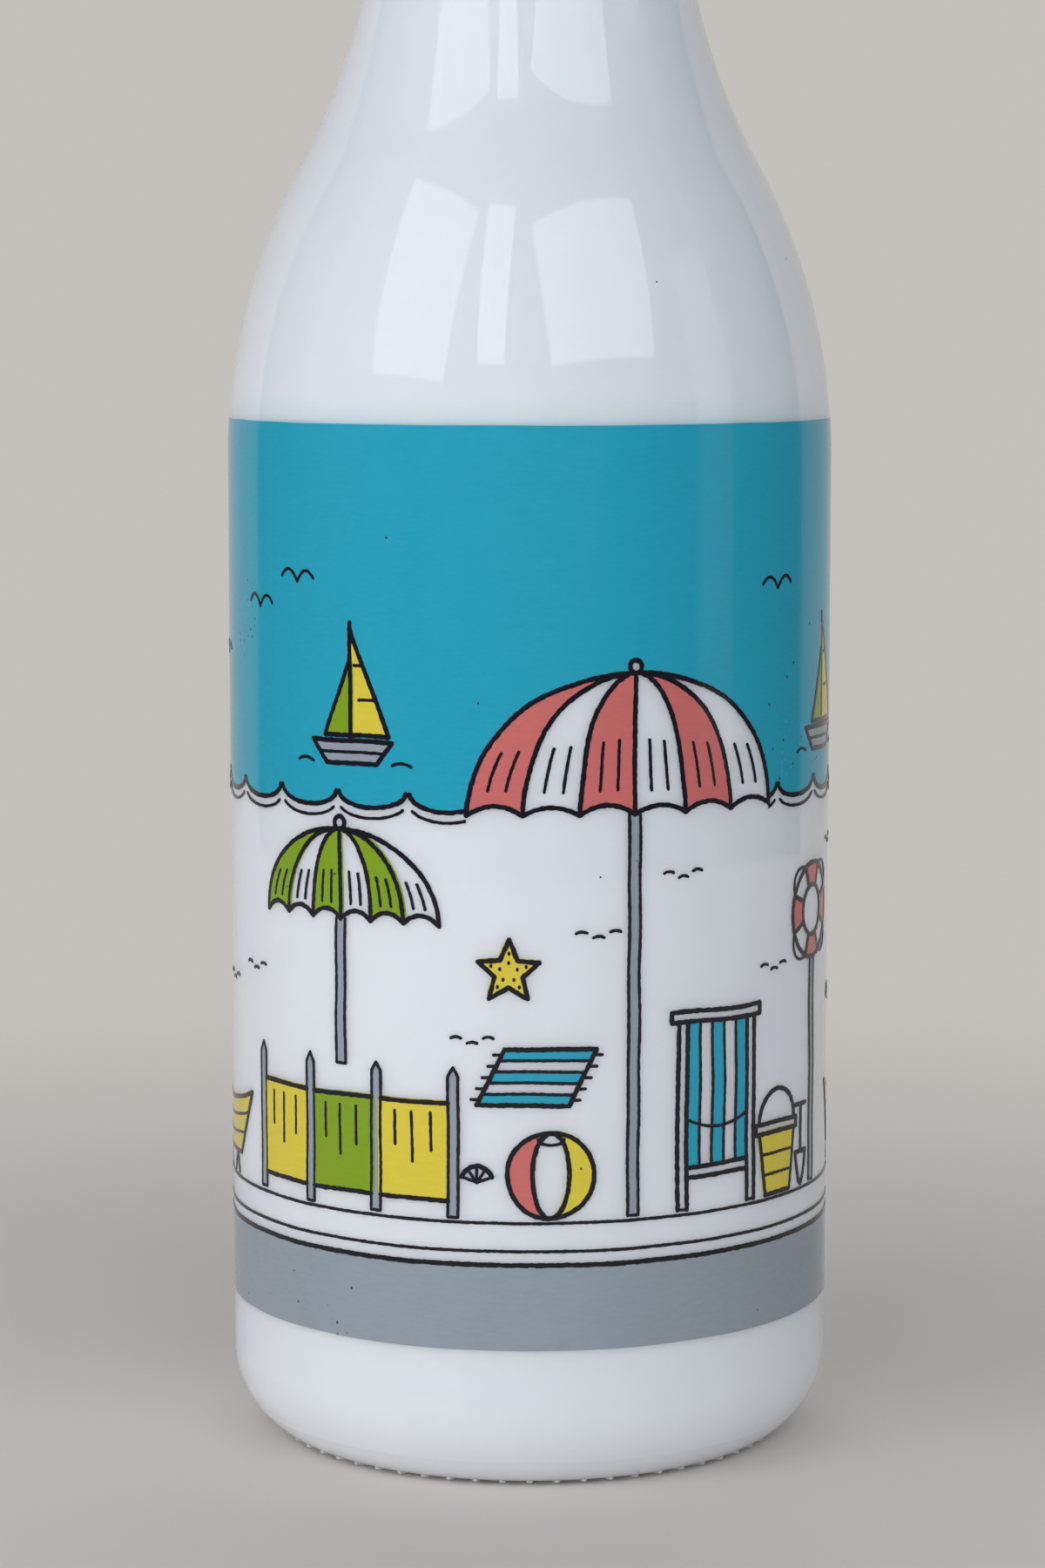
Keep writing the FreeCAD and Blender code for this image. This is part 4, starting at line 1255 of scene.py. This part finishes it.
def drawn_sheet():
    """The whole print: bands, waves and two pictures."""
    sheet = Sheet()
    bands(sheet)
    waves(sheet)
    motifs = [
        (big_parasol, BIG_PARASOL_PLACE),
        (small_parasol, SMALL_PARASOL_PLACE),
        (windbreak, WINDBREAK_PLACE),
        (deckchair, DECKCHAIR_PLACE),
        (ball, BALL_PLACE),
        (bucket, BUCKET_PLACE),
        (lifebuoy, BUOY_PLACE),
        (rowing_boat, ROWING_BOAT_PLACE),
        (towel, TOWEL_PLACE),
        (starfish, STAR_PLACE),
    ]
    motifs += [(sailing_boat, place) for place in SAILING_BOAT_PLACES]
    scattered = [(gull, GULL_PLACES), (pebbles, NEAR_PEBBLES + FAR_PEBBLES), (shell, SHELL_PLACES)]
    for i, colours in enumerate(PICTURES):
        for motif, place in motifs:
            sheet.place = PICTURE_LENGTH * i + place
            motif(sheet, colours)
        for small, places in scattered:
            for along, height in places:
                sheet.place = PICTURE_LENGTH * i + along
                small(sheet, height)
    return sheet


# Print: from areas to coats of enamel


def round_the_seam(outline):
    """An outline where it lies on the sheet, and again at the sheet's other end where it crosses the seam."""
    middle = sum(point.x for point in outline) / len(outline)
    shift = -PRINT_LENGTH * math.floor((middle - PRINT_SEAM) / PRINT_LENGTH)
    left = min(point.x for point in outline) + shift
    right = max(point.x for point in outline) + shift
    shifts = [shift]
    if right - left < PRINT_LENGTH:
        if left < PRINT_SEAM:
            shifts.append(shift + PRINT_LENGTH)
        if right > PRINT_SEAM + PRINT_LENGTH:
            shifts.append(shift - PRINT_LENGTH)
    return [[point + Vector((move, 0.0)) for point in outline] for move in shifts]


def turns_about(places, outline):
    """How many times an outline turns about each place."""
    start, end = outline, numpy.roll(outline, -1, axis=0)
    along, height = places[:, 0:1], places[:, 1:2]
    rising = (start[:, 1] <= height) & (end[:, 1] > height)
    falling = (start[:, 1] > height) & (end[:, 1] <= height)
    run, rise = (end - start).T
    left = run * (height - start[:, 1]) > rise * (along - start[:, 0])
    return (rising & left).sum(axis=1) - (falling & ~left).sum(axis=1)


def inside_any(places, outlines):
    """Which places lie inside one outline or more."""
    found = numpy.zeros(len(places), bool)
    for outline in outlines:
        corners = numpy.array(outline)
        boxed = (places > corners.min(axis=0)) & (places < corners.max(axis=0))
        near = numpy.flatnonzero(boxed.all(axis=1) & ~found)
        found[near] = turns_about(places[near], corners) != 0
    return found


def cutting_lines(outlines, smooth):
    """Points and edges that divide the sheet: every outline, and even strips for a coat that lies smooth."""
    points, edges = [], []
    for outline in outlines:
        count = len(outline)
        edges += [(len(points) + i, len(points) + (i + 1) % count) for i in range(count)]
        points += outline
    lines = []
    if smooth:
        strips = math.ceil(PRINT_LENGTH / STRIP_WIDTH)
        for i in range(1, strips):
            along = PRINT_SEAM + PRINT_LENGTH * i / strips
            lines.append([Vector((along, 0.0)), Vector((along, SHEET_TOP))])
        for i in range(SHOULDER_STRIPS):
            level = SHOULDER_START + SKY_ONTO_SHOULDER * i / SHOULDER_STRIPS
            lines.append([Vector((PRINT_SEAM, level)), Vector((PRINT_SEAM + PRINT_LENGTH, level))])
    for line in lines:
        edges.append((len(points), len(points) + 1))
        points += line
    return points, edges


def flat_layer(shapes, behind, bare, smooth):
    """Points and triangles of what lies inside any shape, or behind where nothing bare stands in front."""
    sheet_box = box(PRINT_SEAM, PRINT_SEAM + PRINT_LENGTH, 0.0, SHEET_TOP)
    window = [Vector(corner) for corner in sheet_box]
    layers = []
    for outlines in (shapes, behind, bare):
        layers.append([copy for outline in outlines for copy in round_the_seam(outline)])
    points, edges = cutting_lines([window] + [outline for layer in layers for outline in layer], smooth)
    made = geometry.delaunay_2d_cdt(points, edges, [], 0, SAME_POINT, False)
    corners, triangles = numpy.array(made[0]), numpy.array(made[2])
    middles = corners[triangles].mean(axis=1)
    in_shape, in_behind, in_bare = [inside_any(middles, layer) for layer in layers]
    kept = triangles[inside_any(middles, [window]) & (in_shape | in_behind & ~in_bare)]
    used, faces = numpy.unique(kept, return_inverse=True)
    flat = [(along, height, 0.0) for along, height in corners[used].tolist()]
    return flat, faces.reshape(-1, 3).tolist()


def surface_normal(place):
    """The way out of the glass at a place on the body or the foot of the shoulder."""
    rise = max(place.z / MM - SHOULDER_START, 0.0) / SHOULDER_RADIUS
    outward = Vector((place.x, place.y, 0.0)).normalized() * math.sqrt(1 - rise**2)
    return Vector((outward.x, outward.y, rise))


def shaded_as_the_glass(piece):
    """The piece, with its outer face as smooth as the glass under it."""
    mesh = piece.data
    normals = [None] * len(mesh.loops)
    for face in mesh.polygons:
        face.use_smooth = True
        for loop in face.loop_indices:
            outward = surface_normal(mesh.vertices[mesh.loops[loop].vertex_index].co)
            normals[loop] = outward if face.normal.dot(outward) > OUTER_FACE_COSINE else face.normal
    mesh.normals_split_custom_set(normals)
    return piece


def enamel_coat(sheet, colour, finish):
    """One fired colour of the print as a thin coat round the body."""
    behind = {"turquoise": sheet.sea, "black": sheet.shore_lines}.get(colour, [])
    bare = sheet.bare if behind else []
    points, faces = flat_layer(sheet.areas[colour], behind, bare, smooth=colour != "black")
    coat = new_piece(colour + "_print", points, [], faces)
    sizes = {
        "Thickness": COAT_THICKNESS[colour] * MM,
        "Body Radius": BODY_RADIUS * MM,
        "Shoulder Start": SHOULDER_START * MM,
        "Shoulder Radius": SHOULDER_RADIUS * MM,
        "Material": finish,
    }
    return shaded_as_the_glass(grown(coat, WRAPPING, sizes))


# Finishes


def new_finish(name):
    """A material with its tree, its shader's inputs and the object's own coordinates."""
    finish = bpy.data.materials.new(name)
    finish.use_nodes = True
    tree = finish.node_tree
    shader = tree.nodes["Principled BSDF"]
    place = add_node(tree, "ShaderNodeTexCoord")["Object"]
    return finish, tree, shader.inputs, place


def specks_group():
    """Small round specks in loose clusters on the unrolled body, as low domes and as a mask."""
    inputs = {"Place": "NodeSocketVector", **numbers("Cells", "Size", "Share")}
    tree, given = new_tree("firing_specks", "ShaderNodeTree", inputs, numbers("Dome", "Mask"))
    place = add_node(tree, "ShaderNodeSeparateXYZ", {"Vector": given["Place"]})
    turn = calculate(tree, "ARCTAN2", place["X"], calculate(tree, "MULTIPLY", place["Y"], -1.0))
    along = calculate(tree, "MULTIPLY", turn, BODY_RADIUS * MM)
    flat = add_node(tree, "ShaderNodeCombineXYZ", {"X": along, "Y": place["Z"]})[0]
    grid = {"Vector": flat, "Scale": given["Cells"]}
    cells = add_node(tree, "ShaderNodeTexVoronoi", grid, voronoi_dimensions="2D")
    chance = add_node(tree, "ShaderNodeSeparateColor", {"Color": cells["Color"]})
    crowd = add_node(tree, "ShaderNodeTexNoise", {"Vector": flat, "Scale": CLUSTERS_PER_METRE})[0]
    cluster = calculate(tree, "POWER", ranged(tree, crowd, 0.0, 1.0), CLUSTERING)
    chosen = calculate(tree, "LESS_THAN", chance["Red"], calculate(tree, "MULTIPLY", given["Share"], cluster))
    size = calculate(tree, "MULTIPLY", given["Size"], chance["Green"])
    fall = calculate(tree, "SUBTRACT", 1.0, calculate(tree, "DIVIDE", cells["Distance"], size))
    dome = calculate(tree, "MULTIPLY", calculate(tree, "MAXIMUM", fall, 0.0), chosen)
    add_node(tree, "NodeGroupOutput", {"Dome": dome, "Mask": calculate(tree, "GREATER_THAN", dome, 0.0)})
    return tree


def unevenness_group():
    """Slow waves with fine grain as a height, soft clouds and grain as masks, and a roughness that varies."""
    sizes = numbers("Waves", "Grain", "Grain Height", "Grain Stretch", "Smoothest", "Roughest")
    inputs = {"Place": "NodeSocketVector", **sizes}
    outputs = numbers("Height", "Cloud", "Grain", "Roughness")
    tree, given = new_tree("uneven_surface", "ShaderNodeTree", inputs, outputs)

    def noise_at(place, scale, detail):
        return add_node(tree, "ShaderNodeTexNoise", {"Vector": place, "Scale": scale, "Detail": detail})[0]

    level = {"X": given["Grain Stretch"], "Y": given["Grain Stretch"], "Z": 1.0}
    stretch = add_node(tree, "ShaderNodeCombineXYZ", level)[0]
    scaled = {0: given["Place"], 1: stretch}
    drawn_out = add_node(tree, "ShaderNodeVectorMath", scaled, operation="MULTIPLY")[0]
    waves_height = noise_at(given["Place"], given["Waves"], WAVES_DETAIL)
    grain = noise_at(drawn_out, given["Grain"], GRAIN_DETAIL)
    cloud = noise_at(given["Place"], CLOUDS_PER_METRE, CLOUD_DETAIL)
    fine = calculate(tree, "MULTIPLY", grain, given["Grain Height"])
    results = {
        "Height": calculate(tree, "ADD", waves_height, fine),
        "Cloud": ranged(tree, cloud, 0.0, 1.0),
        "Grain": ranged(tree, grain, 0.0, 1.0),
        "Roughness": ranged(tree, grain, given["Smoothest"], given["Roughest"]),
    }
    add_node(tree, "NodeGroupOutput", results)
    return tree


def mixed(tree, factor, first, second, blend="MIX"):
    """One colour mixed with another."""
    colours = {MIX_FACTOR: factor, MIX_FIRST: first, MIX_SECOND: second}
    return add_node(tree, "ShaderNodeMix", colours, data_type="RGBA", blend_type=blend)[MIX_RESULT]


def ranged(tree, value, low, high):
    """A noise's usual span, spread over another range."""
    limits = {"Value": value, "From Min": NOISE_LOW, "From Max": NOISE_HIGH, "To Min": low, "To Max": high}
    return add_node(tree, "ShaderNodeMapRange", limits)[0]


def eased(tree, value, start, end):
    """Nought at start and one at end, with a smooth slope in between."""
    limits = {"Value": value, "From Min": start, "From Max": end}
    return add_node(tree, "ShaderNodeMapRange", limits, interpolation_type="SMOOTHSTEP")[0]


def opaque(colour):
    return (*colour, 1.0)


def toned(colour, share):
    """A colour made lighter or darker."""
    return tuple(min(1.0, part * share) for part in colour)


def varied(tree, mask, colour, share):
    """A colour that goes a little lighter or darker where a mask says."""
    return mixed(tree, mask, opaque(colour), opaque(toned(colour, share)))


def uneven(tree, place, surface):
    return add_node(tree, "ShaderNodeGroup", {"Place": place, **surface}, node_tree=UNEVENNESS)


def spots(tree, place, sizes):
    return add_node(tree, "ShaderNodeGroup", {"Place": place, **sizes}, node_tree=SPECKS)


def specked(tree, place, colour, specks):
    """A colour with a few dark specks from the firing."""
    return mixed(tree, spots(tree, place, specks)["Mask"], colour, opaque(SPECK_GREY))


def surfaced(tree, shader, colour, surface, relief, raised=None):
    """Links a colour, and the roughness and relief of an uneven surface, to the shader."""
    height = calculate(tree, "ADD", surface["Height"], raised) if raised else surface["Height"]
    bump = {"Height": height, "Strength": 1.0, "Distance": relief}
    tree.links.new(colour, shader["Base Color"])
    tree.links.new(surface["Roughness"], shader["Roughness"])
    tree.links.new(add_node(tree, "ShaderNodeBump", bump)[0], shader["Normal"])


def let_light_in(shader, weight, depth):
    shader["Subsurface Weight"].default_value = weight
    shader["Subsurface Radius"].default_value = (1.0, 1.0, 1.0)
    shader["Subsurface Scale"].default_value = depth


def with_painted_glow(tree, place, colour):
    """A colour with a painted turquoise glow beside the top edge of the print: painted light that stands in
    for light the enamel passes back through the milky glass.
    """
    height = add_node(tree, "ShaderNodeSeparateXYZ", {"Vector": place})["Z"]
    off = calculate(tree, "ABSOLUTE", calculate(tree, "SUBTRACT", height, SKY_TOP * MM))
    near = eased(tree, off, PAINTED_GLOW_REACH * MM, 0.0)
    return mixed(tree, near, colour, opaque(PAINTED_SEA_GLOW), "MULTIPLY")


def opal_glass_finish():
    """Milky white glass: glossy, a little translucent, slightly wavy, with a few specks from the melt, and a
    painted turquoise glow beside the top edge of the print.
    """
    finish, tree, shader, place = new_finish("opal_glass")
    surface = uneven(tree, place, OPAL_SURFACE)
    # Painted light: the milky white is tinted turquoise beside the print's top edge, standing in for light
    # scattered back from the enamel through the glass
    milk_and_painted_glow = with_painted_glow(tree, place, varied(tree, surface["Cloud"], OPAL_WHITE, OPAL_CLOUD_TONE))
    surfaced(tree, shader, specked(tree, place, milk_and_painted_glow, OPAL_SPECKS), surface, GLASS_RELIEF)
    let_light_in(shader, OPAL_MILKINESS, OPAL_GLOW_DEPTH)
    shader["IOR"].default_value = GLASS_IOR
    return finish


def enamel_finish(name, colour):
    """Fired enamel: the glass's waves, level grain from the screen, clouds, dark specks and pimples."""
    finish, tree, shader, place = new_finish(name + "_enamel")
    surface = uneven(tree, place, ENAMEL_SURFACE)
    soft = varied(tree, surface["Cloud"], colour, ENAMEL_CLOUD_TONE)
    grained = mixed(tree, surface["Grain"], soft, opaque(toned(colour, ENAMEL_GRAIN_TONE)))
    pimples = calculate(tree, "MULTIPLY", spots(tree, place, ENAMEL_PIMPLES)["Dome"], PIMPLE_HEIGHT)
    surfaced(tree, shader, specked(tree, place, grained, ENAMEL_SPECKS), surface, GLASS_RELIEF, pimples)
    shader["IOR"].default_value = GLASS_IOR
    shader["Specular IOR Level"].default_value = ENAMEL_SPECULAR
    return finish


def cap_plastic_finish():
    """Soft white plastic with the dull grain of its mould."""
    finish, tree, shader, place = new_finish("cap_plastic")
    surface = uneven(tree, place, CAP_SURFACE)
    surfaced(tree, shader, varied(tree, surface["Cloud"], CAP_WHITE, CAP_CLOUD_TONE), surface, CAP_RELIEF)
    let_light_in(shader, CAP_MILKINESS, CAP_GLOW_DEPTH)
    return finish


def liner_rubber_finish():
    """Pale grey rubber, matt and finely speckled."""
    finish, tree, shader, place = new_finish("liner_rubber")
    surface = uneven(tree, place, LINER_SURFACE)
    surfaced(tree, shader, varied(tree, surface["Grain"], LINER_GREY, LINER_GRAIN_TONE), surface, CAP_RELIEF)
    return finish


# Stage


def stage_finish():
    """Plain pale linen colour that takes shadows near the bottle and is evenly lit further off."""
    finish, tree, _, place = new_finish("plain_stage")
    tree.nodes.remove(tree.nodes["Principled BSDF"])
    reach = add_node(tree, "ShaderNodeVectorMath", {0: place}, operation="LENGTH")["Value"]
    far = eased(tree, reach, SHADOW_START * MM, SHADOW_END * MM)
    path = add_node(tree, "ShaderNodeLightPath")
    seen = calculate(tree, "MAXIMUM", path["Is Camera Ray"], path["Is Glossy Ray"])
    seen = calculate(tree, "MAXIMUM", seen, path["Is Transmission Ray"])
    evenly = calculate(tree, "MULTIPLY", far, seen)
    cloth = add_node(tree, "ShaderNodeBsdfDiffuse", {"Color": opaque(FLOOR_LINEN)})[0]
    even = add_node(tree, "ShaderNodeEmission", {"Color": opaque(BACKDROP_LINEN), "Strength": 1.0})[0]
    shown = add_node(tree, "ShaderNodeMixShader", {0: evenly, 1: cloth, 2: even})[0]
    tree.links.new(shown, tree.nodes["Material Output"].inputs["Surface"])
    return finish


def backdrop(finish):
    """A sheet behind the bottle that curves up from the far edge of the floor."""
    profile = arc((FLOOR_REACH, SWEEP_RADIUS), SWEEP_RADIUS, -90.0, 0.0, CURVE_STEPS)
    profile.append((FLOOR_REACH + SWEEP_RADIUS, SWEEP_RADIUS + BACKDROP_RISE))
    points = []
    for radius, height in profile:
        across = arc((0.0, 0.0), radius, 90.0 + BACKDROP_HALF_ANGLE, 90.0 - BACKDROP_HALF_ANGLE, CURVE_STEPS)
        points += [(along, away, height) for along, away in across]
    sheet = new_piece("backdrop", points, [], rows_joined(len(profile), CURVE_STEPS + 1))
    sheet.data.materials.append(finish)
    return sheet


def stage():
    finish = stage_finish()
    floor = turned("floor", [(0.0, 0.0), (FLOOR_REACH, 0.0)], FLOOR_SEGMENTS, finish)
    for piece in (floor, backdrop(finish)):
        piece.data.shade_smooth()


def soften_edges(lamp):
    """Lets a lamp fade towards its edges."""
    lamp.use_nodes = True
    tree = lamp.node_tree
    on_lamp = add_node(tree, "ShaderNodeNewGeometry")["Parametric"]
    place = add_node(tree, "ShaderNodeSeparateXYZ", {"Vector": on_lamp})
    strength = 1.0
    for along in (place["X"], place["Y"]):
        inwards = calculate(tree, "MINIMUM", along, calculate(tree, "SUBTRACT", 1.0, along))
        strength = calculate(tree, "MULTIPLY", eased(tree, inwards, 0.0, LAMP_SOFT_EDGE), strength)
    tree.links.new(strength, tree.nodes["Emission"].inputs["Strength"])


def softbox(name, mirrored, azimuth, elevation, width, height, power):
    """A plain lamp that faces the bottle's middle, from an angle round it, mirrored in its gloss or not."""
    turn, lift = math.radians(azimuth), math.radians(elevation)
    way = Vector((math.sin(turn) * math.cos(lift), -math.cos(turn) * math.cos(lift), math.sin(lift)))
    lamp = bpy.data.lights.new(name, "AREA")
    lamp.shape = "RECTANGLE"
    lamp.size, lamp.size_y = width, height
    lamp.energy = power
    lamp.color = DAYLIGHT if mirrored else ROOM_LIGHT
    soften_edges(lamp)
    holder = bpy.data.objects.new(name, lamp)
    holder.location = Vector((0.0, 0.0, LAMP_AIM)) + way * LAMP_DISTANCE
    holder.rotation_euler = (-way).to_track_quat("-Z", "Y").to_euler()
    holder.visible_camera = False
    holder.visible_glossy = mirrored
    bpy.context.collection.objects.link(holder)


def room():
    """A dim room that the camera sees in the backdrop's colour."""
    world = bpy.data.worlds.new("soft_room")
    world.use_nodes = True
    tree = world.node_tree
    seen = add_node(tree, "ShaderNodeLightPath")["Is Camera Ray"]
    dim = {"Color": opaque(ROOM_BLUE), "Strength": ROOM_STRENGTH}
    pale = {"Color": opaque(BACKDROP_LINEN), "Strength": 1.0}
    around = [add_node(tree, "ShaderNodeBackground", values)[0] for values in (dim, pale)]
    shown = add_node(tree, "ShaderNodeMixShader", {0: seen, 1: around[0], 2: around[1]})[0]
    tree.links.new(shown, tree.nodes["World Output"].inputs["Surface"])
    bpy.context.scene.world = world


def camera():
    lens = bpy.data.cameras.new("camera")
    lens.lens = CAMERA_LENS
    lens.sensor_width = CAMERA_SENSOR
    lens.clip_start = CAMERA_NEAREST
    holder = bpy.data.objects.new("camera", lens)
    holder.location = CAMERA_PLACE
    holder.rotation_euler = (math.radians(90.0 - CAMERA_TILT), 0.0, 0.0)
    bpy.context.collection.objects.link(holder)
    bpy.context.scene.camera = holder


TURNING = turning_tree()
RING = ring_tree()
WRAPPING = wrapping_tree()
SPECKS = specks_group()
UNEVENNESS = unevenness_group()

bottle = opal_bottle(opal_glass_finish())
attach(bottle, "bottle")
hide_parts("glass_body", "glass_neck")

cap = cap_moulding(cap_plastic_finish())
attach(cap, "cap")
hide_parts("cap_shell")

liner = sealing_ring(liner_rubber_finish())
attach(liner, "liner")
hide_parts("cap_liner")

print_sheet = drawn_sheet()
for enamel, enamel_colour in ENAMELS.items():
    coat = enamel_coat(print_sheet, enamel, enamel_finish(enamel, enamel_colour))
    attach(coat, "bottle")
    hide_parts(enamel + "_enamel")

stage()
for lamps, lamps_mirrored in ((WINDOWS, True), (FILLS, False)):
    for lamp_name, lamp_values in lamps.items():
        softbox(lamp_name, lamps_mirrored, **lamp_values)
room()
camera()
bpy.context.scene.view_settings.view_transform = "Standard"
